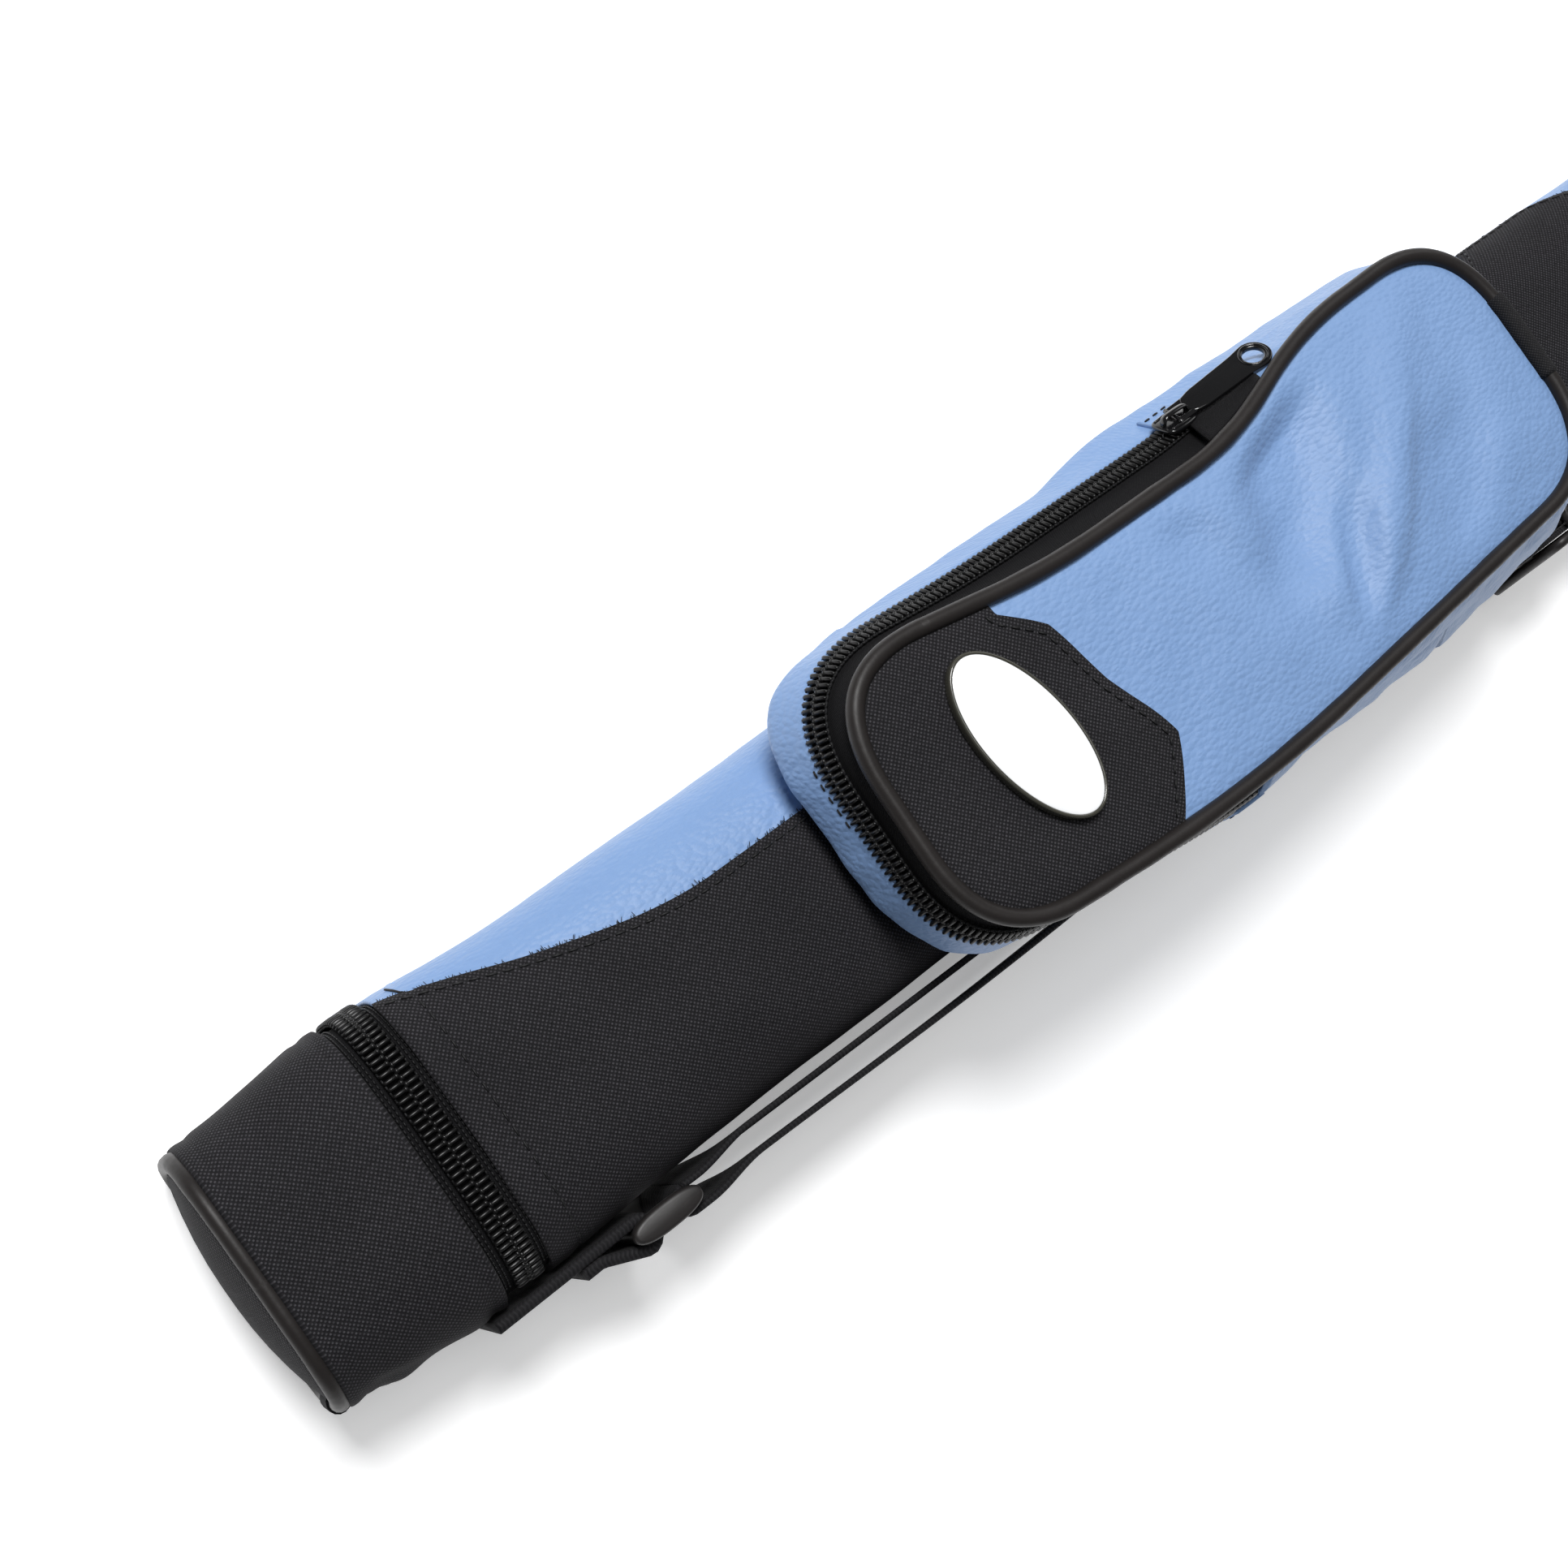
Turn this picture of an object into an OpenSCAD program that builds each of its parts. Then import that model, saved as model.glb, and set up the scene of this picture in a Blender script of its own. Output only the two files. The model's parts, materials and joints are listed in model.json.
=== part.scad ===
// Slim padded tube case: zip-off end lid, two lined channels, gusseted zip pocket on the front and a
// webbing shoulder strap along one side. The case lies on its back. X runs along it with the lid at -X,
// +Z is up through the pocket, and -Y is the side that carries the strap.

/* [Tube] */
// Overall length of the case
case_l = 804; // [760:4:860]
// Width of the tube
tube_w = 62; // [60:0.5:66]
// Height of the tube
tube_h = 44; // [43:0.5:48]
// Radius of the tube's long edges
edge_r = 13; // [11:0.5:14]
// Length of the lid, from its end to the middle of the zip
lid_l = 41; // [38:1:50]

/* [Layers] */
// Woven overlay fabric
overlay_t = 0.7; // [0.5:0.1:0.9]
// Outer leatherette shell
shell_t = 1; // [0.8:0.1:1.2]
// Foam between the shell and the liner
foam_t = 3.5; // [2.5:0.5:4]
// Stiff liner tube
liner_t = 1.2; // [0.8:0.1:1.4]
// Brushed lining
lining_t = 0.6; // [0.4:0.1:0.8]
// Width of the channel for the butt
butt_w = 29; // [27:0.5:30]
// Divider between the butt and the shaft channel
divider_t = 2.5; // [2:0.5:3]
// Diameter of the piping cord
piping_d = 3.7; // [3.2:0.1:4]

/* [Zip] */
// Width of the closed zip chain
chain_w = 6.6; // [6:0.1:7]
// Thickness of the coil
coil_t = 2.1; // [1.8:0.1:2.2]
// Thickness of the zip tape
tape_t = 0.8; // [0.6:0.1:1]
// Width of the open groove that the zip lies in
groove_w = 9.6; // [9.2:0.2:11]
// Depth of the recess in the underside that keeps the slider off the ground
recess = 4.5; // [4.5:0.5:5.5]

/* [Pocket] */
// Height of the pocket's front above the ground
front_z = 71.5; // [68:0.5:74]
// Height where the pocket is widest
bulge_z = 52; // [50:0.5:54]

/* [Strap] */
// Width of the webbing
web_w = 24; // [22:1:25]
// Thickness of the webbing
web_t = 1.4; // [1.2:0.1:1.5]

/* [Hidden] */
$fn = 48;

blue = [0.52, 0.66, 0.84];
black_weave = [0.09, 0.09, 0.1];
dark_cord = [0.2, 0.19, 0.19];
lining_grey = [0.3, 0.3, 0.32];

half_l = case_l / 2;
zip_x = lid_l - half_l;
hem_x = groove_w / 2;          // from the zip's middle to each hem
tape_x = 11;                   // from the zip's middle to each tape's sewn edge
coil_gap = 0.5;                // half the gap between the two coils
wall_t = overlay_t + shell_t;
coil_up = coil_t - wall_t;     // how far the coil stands above the walls
foam_in = wall_t + foam_t;
liner_in = foam_in + liner_t;
cavity = liner_in + lining_t;
piping_r = piping_d / 2;
piping_inset = piping_r + 0.05;
end_inset = piping_inset + piping_r;
wall_end = half_l - piping_d - 0.1;
board_x = half_l - 3;          // inner face of each end board
pad_x = half_l - 7;            // inner face of each end pad
mouth_x = zip_x + tape_x;      // where the stiff layers begin

panel_y = 13;                  // the side panel's straight edge
fold_x = -166;                 // the pocket's fold crosses the middle line here
fold_a = 28.8;                 // the fold leans this far from square
fold_gap = 0.2;
mid_t = 0.5;                   // place of the chain between the pocket's widest line and its front
half_t = 0.13;                 // half the chain's width on the same scale
coil_gap_t = 0.04;             // from the chain's middle to the upper coil
tape_gap_t = 0.055;            // from the chain's middle to the upper tape
post_t = 0.022;                // extra room on the lower side for the slider's post
top_t = 1 - (piping_d / 2 + 0.1) / (front_z - bulge_z); // where the wall ends, under the front piping
gusset_t = 1.2;                // thickness of the pocket's wall
base_in = 11;                  // from the widest line in to the seam on the tube
front_t = 1.2;                 // thickness of the pocket's front
slider_x = -153;
pocket_chain_y = 33.4;         // the pocket zip's middle line at the slider
pocket_gap = 1.25;             // from that line out to the slider
pocket_low = 3.1;              // from the pocket slider's top plate to its inner plate
pull_rest = 8;                 // the pocket's pull rests tipped out, clear of the widening wall
ring_x = -zip_x - 21.75;       // tab-side bar of each strap ring
ring_bars = 11.5;              // from that bar to the strap-side bar
ring_y = -tube_w / 2 - 5;
bar_r = 1.75;
loop_r = 2.05;
web_z = tube_h / 2 - web_w / 2;
adj_x = -46;
adj_y = -tube_w / 2 - 8.25;    // centre bar of the adjuster
strap_out_y = adj_y - 4.25;
strap_in_y = adj_y + 2.5;

// Smooth step from 0 to 1
function smooth(u) = let (v = min(max(u, 0), 1)) v * v * (3 - 2 * v);
function mix(a, b, t) = a + (b - a) * t;

// Closed outline through rounded corners: each corner is a parabola that starts and ends cut from it
function rounded(p, cut, n = 6) = [
    for (i = [0:len(p) - 1])
        let (c = p[i], a = p[(i + len(p) - 1) % len(p)], b = p[(i + 1) % len(p)],
             s = c + (a - c) * cut[i] / norm(a - c), e = c + (b - c) * cut[i] / norm(b - c))
        for (k = [0:n]) let (u = k / n) s * (1 - u) * (1 - u) + c * 2 * u * (1 - u) + e * u * u];

// Pocket corners at its widest line and at its front, from the lid end's +Y corner round by -Y
wide = [[-268, 40], [-268, -31], [-195, -41], [-56, -35],
    [-56, 41.5], [-116, 41.5], [-150, 41.5], [-225, 41.5]];
front = [[-262, 33], [-262.5, -29], [-195, -36], [-63, -27],
    [-65, 38], [-116, 36], [-150, 24.5], [-205, 24.5]];
inward = [[1, -1], [1, 1], [0, 1], [-1, 1], [-1, -1], [0, -1], [0, -1], [0, -1]];
cuts = [22, 22, 35, 24, 26, 14, 14, 14];
zip_corner = 6;                // the slider rests by this corner
wall_a = atan2(front_z - bulge_z, wide[zip_corner][1] - front[zip_corner][1]); // lean of the wall there
function pocket_z(t) = mix(bulge_z, front_z, t);
// The corners get tighter further in
function pocket_loop(t, d) = rounded([for (i = [0:7]) mix(wide[i], front[i], t) + inward[i] * d],
    cuts * (1 - d / 30));

// Section of the tube, each side moved in by d, with its underside raised by up
module sect(d, up = 0) {
    r = edge_r - d;
    w = tube_w / 2 - d;
    translate([-w, up + d + r]) square([2 * w, tube_h - up - 2 * d - 2 * r]);
    translate([r - w, up + d]) square([2 * w - 2 * r, tube_h - up - 2 * d]);
    for (y = [r - w, w - r], z = [up + d + r, tube_h - d - r]) translate([y, z]) circle(r);
}

module along(x0, x1) translate([x0, 0, 0]) rotate([90, 0, 90]) linear_extrude(x1 - x0) children();

module ring(x0, x1, d0, d1, up = 0) along(x0, x1) difference() {
    sect(d0, up);
    sect(d1, up);
}

// Foam that fills the underside between a wall's hem and the raised zip tape
module hem_fill(x0, x1) along(x0, x1) difference() {
    sect(wall_t);
    sect(wall_t, recess);
}

// Piping cord round an end
module end_cord(x) {
    w = tube_w / 2 - piping_inset;
    r = edge_r - piping_inset;
    y = w - r;
    z0 = edge_r;
    z1 = tube_h - edge_r;
    for (s = [-1, 1]) {
        translate([x, s * w, z0]) cylinder(r = piping_r, h = z1 - z0);
        translate([x, -y, s < 0 ? piping_inset : tube_h - piping_inset])
            rotate([-90, 0, 0]) cylinder(r = piping_r, h = 2 * y);
    }
    for (k = [0:3])
        translate([x, (k == 0 || k == 3) ? y : -y, k < 2 ? z1 : z0])
            rotate([90, 0, 90]) rotate([0, 0, 90 * k])
                rotate_extrude(angle = 90) translate([r, 0]) circle(piping_r);
}

// Closed band of the pocket's wall: its section is a loop of [level, depth] pairs
module wall_band(section) {
    loops = [for (c = section) pocket_loop(c[0], c[1])];
    n = len(loops[0]);
    m = len(section);
    polyhedron(
        points = [for (k = [0:m - 1]) for (p = loops[k]) [p[0], p[1], pocket_z(section[k][0])]],
        faces = [for (k = [0:m - 1]) for (i = [0:n - 1]) let (j = (i + 1) % n, l = (k + 1) % m)
            [k * n + i, l * n + i, l * n + j, k * n + j]]);
}

module band(t0, t1, d0, d1) wall_band([[t0, d0], [t1, d0], [t1, d1], [t0, d1]]);

// Piping cord round the pocket's front
module front_cord() {
    p = pocket_loop(1, 0);
    n = len(p);
    sides = 8;
    polyhedron(
        points = [for (i = [0:n - 1])
            let (q = p[(i + 1) % n] - p[(i + n - 1) % n], a = q / norm(q))
            for (k = [0:sides - 1]) let (
                c = piping_r * cos(k * 360 / sides), s = piping_r * sin(k * 360 / sides))
                [p[i][0] - a[1] * c, p[i][1] + a[0] * c, front_z + s]],
        faces = [for (i = [0:n - 1]) for (k = [0:sides - 1]) let (j = (i + 1) % n, m = (k + 1) % sides)
            [i * sides + k, i * sides + m, j * sides + m, j * sides + k]]);
}

// Half-space on the lid's side of the pocket's fold, or on the far side of it
module fold_side(flap) translate([fold_x, 0, 0]) rotate([0, 0, -fold_a])
    translate([flap ? -200 - fold_gap : fold_gap, -150, 30]) cube([200, 300, 60]);

// Edge of the side panel over the tube's top: high at the mouth, one lobe past the pocket, high at the end
function panel_edge(x) = panel_y
    + 17.5 * (1 - smooth((x - zip_x + 11) / 82))
    + 19.5 * smooth((x + 62) / 50) * (1 - smooth((x + 12) / 87));
function boot_edge(x) = 21 * smooth((x - half_l + 117) / 60) + panel_y + 0.2;

module panel_area(x0, x1) translate([0, 0, -1]) linear_extrude(tube_h + 2)
    polygon(concat([[x1, -tube_w], [x0, -tube_w]],
        [for (k = [0:60]) let (x = mix(x0, x1, k / 60)) [x, panel_edge(x)]]));

boot_x = half_l - 117;
module boot_area() translate([0, 0, -1]) linear_extrude(tube_h + 2)
    polygon(concat(
        [for (k = [0:20]) let (x = mix(boot_x, boot_x + 60, k / 20))
            [x, boot_edge(x) + (k == 20 ? tube_w : 0)]],
        [[half_l, tube_w + 34], [half_l, panel_y], [boot_x, panel_y]]));

// Webbing in plan: a ribbon of thickness t along a path of points
function ribbon(p, t = web_t) = let (n = len(p), side = [for (i = [0:n - 1])
        let (d = p[min(i + 1, n - 1)] - p[max(i - 1, 0)]) [-d[1], d[0]] / norm(d) * t / 2])
    concat([for (i = [0:n - 1]) p[i] + side[i]], [for (i = [n - 1:-1:0]) p[i] - side[i]]);
function arc(c, r, a0, a1, n = 12) = [for (k = [0:n])
    let (a = mix(a0, a1, k / n)) c + r * [cos(a), sin(a)]];

module web() translate([0, 0, web_z]) linear_extrude(web_w) children();

// Zip slider: X along the zip, Z outward; the inner plate lies behind the tape on one side only
module slider(low) {
    plate = 1;
    hull_w = 3.7;
    linear_extrude(plate) {
        translate([-3.4, -hull_w]) square([6, 2 * hull_w]);
        translate([2.6, 0]) circle(hull_w - 1);
        translate([-4.4, -2.6]) square([8, 5.2]);
    }
    translate([1, -0.25, -low]) cube([3, 0.5, low]);
    translate([-4, -hull_w, -low - plate]) cube([8, hull_w, plate]);
    for (x = [-3.6, 3.2]) translate([x, -0.9, plate]) cube([1, 1.8, 1.4]);
    translate([-3.6, -0.9, plate + 1.4]) cube([7.8, 1.8, 0.8]);
}

// Zip pull: its cross bar lies under the slider's bridge, and the tab runs to +X
module pull(l) {
    wire_r = 0.55;
    tab_w = 5.6;
    tab_x = 4.6;
    eye_x = l - 4;
    rotate([90, 0, 0]) cylinder(r = wire_r, h = tab_w, center = true);
    for (s = [-1, 1]) translate([0, s * 2.05 - 0.75, -wire_r]) cube([tab_x + 0.1, 1.5, 2 * wire_r]);
    translate([0, 0, -wire_r]) difference() {
        union() {
            translate([tab_x, -tab_w / 2, 0]) cube([eye_x - tab_x, tab_w, 2 * wire_r]);
            translate([eye_x, 0, 0]) cylinder(r = 3.7, h = 2 * wire_r);
        }
        translate([eye_x, 0, -1]) cylinder(r = 2.1, h = 4);
    }
}

pull_x = 0.2;                  // cross bar's place on the slider
pull_z = 1.75;
chain_gap = 0.3;

module lid_zip() translate([zip_x, -13, recess - coil_up - chain_gap]) rotate([180, 0, 90]) children();

module pocket_zip()
    translate([slider_x, pocket_chain_y, pocket_z(mid_t)] + pocket_gap * [0, sin(wall_a), cos(wall_a)])
        rotate([-wall_a, 0, 0]) children();

// ---- tube ----
module outer_shell() color(blue) ring(zip_x + hem_x, wall_end, overlay_t, wall_t);

module side_panel() color(black_weave) intersection() {
    ring(zip_x + hem_x, wall_end, 0, overlay_t);
    panel_area(zip_x + hem_x - 1, half_l);
}

module end_boot() color(black_weave) intersection() {
    ring(boot_x, wall_end, 0, overlay_t);
    difference() {
        boot_area();
        panel_area(boot_x - 1, half_l);
    }
}

module foam_padding() color("dimgray") {
    ring(mouth_x, wall_end, wall_t, foam_in);
    hem_fill(zip_x + hem_x, mouth_x);
}

module liner_tube() color("gray") ring(mouth_x, pad_x, foam_in, liner_in);

module lining() color(lining_grey) ring(mouth_x, pad_x, liner_in, cavity);

divider_y = tube_w / 2 - cavity - butt_w - divider_t;
module channel_divider() color(lining_grey)
    translate([mouth_x, divider_y, cavity]) cube([pad_x - mouth_x, divider_t, tube_h - 2 * cavity]);

module mouth_zip_tape() color(black_weave) ring(zip_x + coil_gap, mouth_x, wall_t, wall_t + tape_t, recess);

// The coil stops each side of the webbing that makes the lid's hinge
module coil_ring(x0, x1) difference() {
    ring(x0, x1, -coil_up, wall_t, recess);
    translate([x0 - 1, -tube_w, web_z - 0.5]) cube([x1 - x0 + 2, tube_w / 2 + 10, web_w + 1]);
}

module mouth_zip_coil() color(dark_cord) coil_ring(zip_x + coil_gap, zip_x + chain_w / 2);

module bottom_pad() color("dimgray") along(pad_x, board_x) sect(foam_in);

module bottom_board() color("tan") along(board_x, half_l - 1.4) sect(end_inset + 0.05);

module bottom_panel() color(black_weave) along(half_l - 1.4, half_l - 0.4) sect(end_inset + 0.05);

module bottom_piping() color(dark_cord) end_cord(half_l - piping_r);

// ---- lid ----
module lid_wall() color(black_weave) ring(-wall_end, zip_x - hem_x, 0, wall_t);

module lid_foam() color("dimgray") {
    ring(-wall_end, zip_x - tape_x, wall_t, foam_in);
    hem_fill(zip_x - tape_x, zip_x - hem_x);
}

module lid_liner() color("gray") ring(-pad_x, zip_x - tape_x, foam_in, liner_in);

module lid_lining() color(lining_grey) ring(-pad_x, zip_x - tape_x, liner_in, cavity);

module lid_end_pad() color("dimgray") along(-board_x, -pad_x) sect(foam_in);

module lid_end_board() color("tan") along(1.4 - half_l, -board_x) sect(end_inset + 0.05);

module lid_end_panel() color(black_weave) along(0.4 - half_l, 1.4 - half_l) sect(end_inset + 0.05);

module lid_piping() color(dark_cord) end_cord(piping_r - half_l);

module lid_piping_sleeve() color("black") intersection() {
    translate([piping_r - half_l, piping_inset - tube_w / 2, 15]) difference() {
        cylinder(r = piping_r + 0.5, h = 11);
        translate([0, 0, -1]) cylinder(r = piping_r, h = 13);
    }
    translate([-half_l - 1, -tube_w, 0]) cube([piping_r + 2, tube_w / 2 + piping_inset + 1, tube_h]);
}

module lid_zip_tape() color(black_weave)
    ring(zip_x - tape_x, zip_x - coil_gap, wall_t, wall_t + tape_t, recess);

module lid_zip_coil() color(dark_cord) coil_ring(zip_x - chain_w / 2, zip_x - coil_gap);

tab_y = -tube_w / 2 - coil_up - 0.3 - web_t / 2;
tab_gap = 1.8;                 // from the hinge to each half of the tab
module lid_strap_tab() color(black_weave) web()
    polygon(ribbon([[zip_x - 10, tab_y], [zip_x - tab_gap, tab_y]]));

slider_low = coil_t + tape_t + 2 * chain_gap;
module lid_zip_slider() color("black") lid_zip() slider(slider_low);

module lid_zip_pull() color("black") lid_zip() translate([pull_x, 0, pull_z]) pull(16);

// ---- pocket ----
module pocket_back() color(black_weave) translate([0, 0, tube_h])
    linear_extrude(1) polygon(pocket_loop(0, base_in + gusset_t));

// The lower gusset spreads from its base seam to the widest line, then leans in to the zip
base_t = -(bulge_z - tube_h) / (front_z - bulge_z);
hem_t = mid_t - half_t - 0.02;
module pocket_lower_gusset() color(blue)
    wall_band([[base_t, base_in], [0, 0], [hem_t, 0],
        [hem_t, gusset_t], [0, gusset_t], [base_t, base_in + gusset_t]]);

module pocket_lower_tape() color(black_weave) intersection() {
    band(hem_t - 0.04, mid_t - tape_gap_t - post_t, gusset_t, gusset_t + tape_t);
    fold_side(true);
}

module pocket_lower_coil() color(dark_cord) intersection() {
    band(mid_t - half_t, mid_t - coil_gap_t - post_t, -1, gusset_t - 0.1);
    fold_side(true);
}

module pocket_rear_gusset() color(blue) intersection() {
    band(hem_t, top_t, 0, gusset_t);
    fold_side(false);
}

module front_plate(d, z, t) translate([0, 0, z]) linear_extrude(t) polygon(pocket_loop(1, d));

module pocket_rear_panel() color(blue) intersection() {
    front_plate(piping_r, front_z - front_t / 2, front_t);
    fold_side(false);
}

module pocket_rear_piping() color(dark_cord) intersection() {
    front_cord();
    fold_side(false);
}

module pocket_piping_sleeve() color("black") translate([-64.2, 6.5, front_z + piping_r + 0.02])
    rotate([0, 0, 2]) translate([-1.9, -11, 0]) cube([3.8, 22, 0.7]);

module pocket_flap_panel() color(blue) intersection() {
    front_plate(piping_r, front_z - front_t / 2, front_t);
    fold_side(true);
}

yoke_edge = [[-222, 60], [-221, 23], [-212, 15.5], [-208.5, 0], [-200.5, -17], [-211.5, -32], [-212, -60],
    [-300, -60], [-300, 60]];
module pocket_yoke() color(black_weave) intersection() {
    front_plate(piping_r, front_z + front_t / 2, overlay_t);
    translate([0, 0, front_z]) linear_extrude(3) polygon(yoke_edge);
}

module pocket_flap_piping() color(dark_cord) intersection() {
    front_cord();
    fold_side(true);
}

module pocket_upper_tape() color(black_weave) intersection() {
    band(mid_t + tape_gap_t, top_t, gusset_t, gusset_t + tape_t);
    fold_side(true);
}

module pocket_upper_coil() color(dark_cord) intersection() {
    band(mid_t + coil_gap_t, mid_t + half_t, -1, gusset_t - 0.1);
    fold_side(true);
}

badge_l = 41;
badge_w = 21;
module oval(l, w) polygon([for (a = [0:6:354]) [w / 2 * cos(a), l / 2 * sin(a)]]);
module on_badge(z) translate([-231.5, 0.4, front_z + front_t / 2 + overlay_t + z])
    rotate([0, 0, 10.9]) children();

module badge_base() color("dimgray") on_badge(0) linear_extrude(1.1) oval(badge_l, badge_w);

module badge_dome() color("white") on_badge(1.1) linear_extrude(0.6) oval(badge_l - 2.4, badge_w - 2.4);

module pocket_zip_slider() color("black") pocket_zip() slider(pocket_low);

module pocket_zip_pull() color("black") pocket_zip()
    translate([pull_x, 0, pull_z]) rotate([0, -pull_rest, 0]) pull(24);

// ---- strap ----
off = loop_r + web_t / 2;      // from a bar's axis to the middle of the webbing round it
lap = web_t + 0.1;             // between two layers of webbing
function tab_path(x0) = concat(
    [[x0, tab_y], [-ring_x - 9, tab_y]],
    arc([-ring_x, ring_y], off, 90, -90),
    [[-ring_x - 9, tab_y - lap], [-ring_x - 13, tab_y - lap]]);

module strap_tab() color(black_weave) web() polygon(ribbon(tab_path(zip_x + tab_gap)));

module bottom_strap_tab() color(black_weave) mirror([1, 0, 0]) web() polygon(ribbon(tab_path(zip_x - 8)));

// Loop of moulded plastic with one slot
module loop_ring() {
    rail = 3.4;
    for (k = [0, 1]) {
        translate([-ring_x + k * ring_bars, ring_y, web_z - rail])
            cylinder(r = bar_r, h = web_w + 2 * rail);
        translate([-ring_x, ring_y - bar_r, k == 0 ? web_z - rail : web_z + web_w + 0.4])
            cube([ring_bars, 2 * bar_r, rail - 0.4]);
    }
}

module strap_ring() color(dark_cord) loop_ring();

module bottom_strap_ring() color(dark_cord) mirror([1, 0, 0]) loop_ring();

strap_bar = -ring_x + ring_bars;
tail = 40;                     // webbing turned back and sewn at the bottom ring
function out_y(x) = mix(strap_out_y, ring_y - off, (x - adj_x) / (-strap_bar - adj_x));
module strap_webbing() color(black_weave) web() polygon(ribbon(concat(
    arc([strap_bar, ring_y], off, 90, 270),
    [[adj_x, strap_out_y]],
    arc([-strap_bar, ring_y], off, -90, 90),
    [for (x = [-strap_bar - 12, -strap_bar - tail]) [x, out_y(x) + lap]])));

module strap_return() color(black_weave) web()
    polygon(ribbon([[strap_bar + 0.3, ring_y + off], [adj_x - 8.3, strap_in_y]]));

module strap_end_loop() color(black_weave) web() polygon(ribbon(concat(
    [[adj_x - 8, strap_in_y]],
    arc([adj_x, adj_y], strap_in_y - adj_y, 90, -170))));

module strap_adjuster() color(dark_cord) {
    rail = 3;
    bar = 7.5;
    translate([adj_x, adj_y, web_z - rail]) cylinder(r = 1.5, h = web_w + 2 * rail);
    end_r = 1.2;
    end_y = strap_out_y - web_t / 2 - 1.6;
    for (s = [-1, 1])
        translate([adj_x + s * bar, end_y, web_z - rail]) cylinder(r = end_r, h = web_w + 2 * rail);
    for (z = [web_z - rail, web_z + web_w + 0.4])
        translate([adj_x - bar - end_r, end_y - end_r, z])
            cube([2 * (bar + end_r), adj_y + 1.5 - end_y + end_r, rail - 0.4]);
}

outer_shell();
side_panel();
end_boot();
foam_padding();
liner_tube();
lining();
channel_divider();
mouth_zip_tape();
mouth_zip_coil();
bottom_pad();
bottom_board();
bottom_panel();
bottom_piping();
lid_wall();
lid_foam();
lid_liner();
lid_lining();
lid_end_pad();
lid_end_board();
lid_end_panel();
lid_piping();
lid_piping_sleeve();
lid_zip_tape();
lid_zip_coil();
lid_strap_tab();
lid_zip_slider();
lid_zip_pull();
pocket_back();
pocket_lower_gusset();
pocket_lower_tape();
pocket_lower_coil();
pocket_rear_gusset();
pocket_rear_panel();
pocket_rear_piping();
pocket_piping_sleeve();
pocket_flap_panel();
pocket_yoke();
pocket_flap_piping();
pocket_upper_tape();
pocket_upper_coil();
badge_base();
badge_dome();
pocket_zip_slider();
pocket_zip_pull();
strap_tab();
strap_ring();
bottom_strap_tab();
bottom_strap_ring();
strap_webbing();
strap_return();
strap_end_loop();
strap_adjuster();
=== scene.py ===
"""Soft tube carry case: the looks of its fabric, zips, piping, straps and badge, on the CAD frame.

Lengths in this script are in millimetres, and become metres when a mesh is made.
"""

import json
import math

import bmesh
import bpy
import numpy as np
from mathutils import Matrix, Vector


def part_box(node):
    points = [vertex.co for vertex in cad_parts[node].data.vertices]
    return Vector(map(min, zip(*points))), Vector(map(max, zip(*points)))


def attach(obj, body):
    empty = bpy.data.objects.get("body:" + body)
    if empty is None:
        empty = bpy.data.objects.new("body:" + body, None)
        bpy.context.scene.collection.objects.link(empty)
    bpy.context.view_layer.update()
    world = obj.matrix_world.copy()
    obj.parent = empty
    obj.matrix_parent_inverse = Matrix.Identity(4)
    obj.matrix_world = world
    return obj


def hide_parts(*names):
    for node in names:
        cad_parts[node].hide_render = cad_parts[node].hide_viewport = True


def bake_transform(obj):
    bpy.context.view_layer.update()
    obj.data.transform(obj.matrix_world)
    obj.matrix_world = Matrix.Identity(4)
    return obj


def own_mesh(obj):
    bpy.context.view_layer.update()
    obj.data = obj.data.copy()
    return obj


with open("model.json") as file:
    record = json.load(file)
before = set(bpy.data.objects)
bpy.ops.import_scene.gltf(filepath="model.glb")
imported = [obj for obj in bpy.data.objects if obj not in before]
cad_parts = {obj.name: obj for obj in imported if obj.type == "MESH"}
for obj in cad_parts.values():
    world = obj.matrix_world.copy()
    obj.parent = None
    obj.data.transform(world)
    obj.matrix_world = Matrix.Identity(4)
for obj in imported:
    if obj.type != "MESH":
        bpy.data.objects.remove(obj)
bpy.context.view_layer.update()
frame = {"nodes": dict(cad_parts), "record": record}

MM = 0.001


def low(node):
    """Lowest corner of a CAD node, in millimetres."""
    return np.array(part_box(node)[0]) / MM


def high(node):
    """Highest corner of a CAD node, in millimetres."""
    return np.array(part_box(node)[1]) / MM


# ---- driving sizes, from the frame ----
X_LID = low("lid_piping")[0]
X_END = high("bottom_piping")[0]
HALF_W = high("lid_wall")[1]
TUBE_H = high("lid_wall")[2]
HEM_LID = high("lid_wall")[0]
HEM_CASE = low("outer_shell")[0]
ZIP_X = (HEM_LID + HEM_CASE) / 2
WALL_END = high("outer_shell")[0]
LID_WALL_END = low("lid_wall")[0]
MOUTH_X = low("liner_tube")[0]
LID_MOUTH_X = high("lid_liner")[0]
RECESS = low("lid_zip_tape")[2] - 1.7
OVERLAY = HALF_W - high("outer_shell")[1]
WALL = 1.7
FOAM_IN = HALF_W - high("liner_tube")[1]
PIPE_R = (X_END - low("bottom_piping")[0]) / 2
FRONT_Z = high("pocket_flap_piping")[2] - PIPE_R
PANEL_Z = high("pocket_flap_panel")[2]
BULGE_Z = 52
WEB_LOW = low("strap_webbing")[2]
WEB_HIGH = high("strap_webbing")[2]
WEB_T = 1.4
TAB_T = 2.3
STRAP_LEAN = 0.165          # how far the slack strap tips out at its foot, per mm of height
COIL_PITCH = 1.45
STITCH_PITCH = 3.2
STITCH_T = 0.55
STITCH_UP = 0.105           # from the cloth to the middle of a thread


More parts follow.
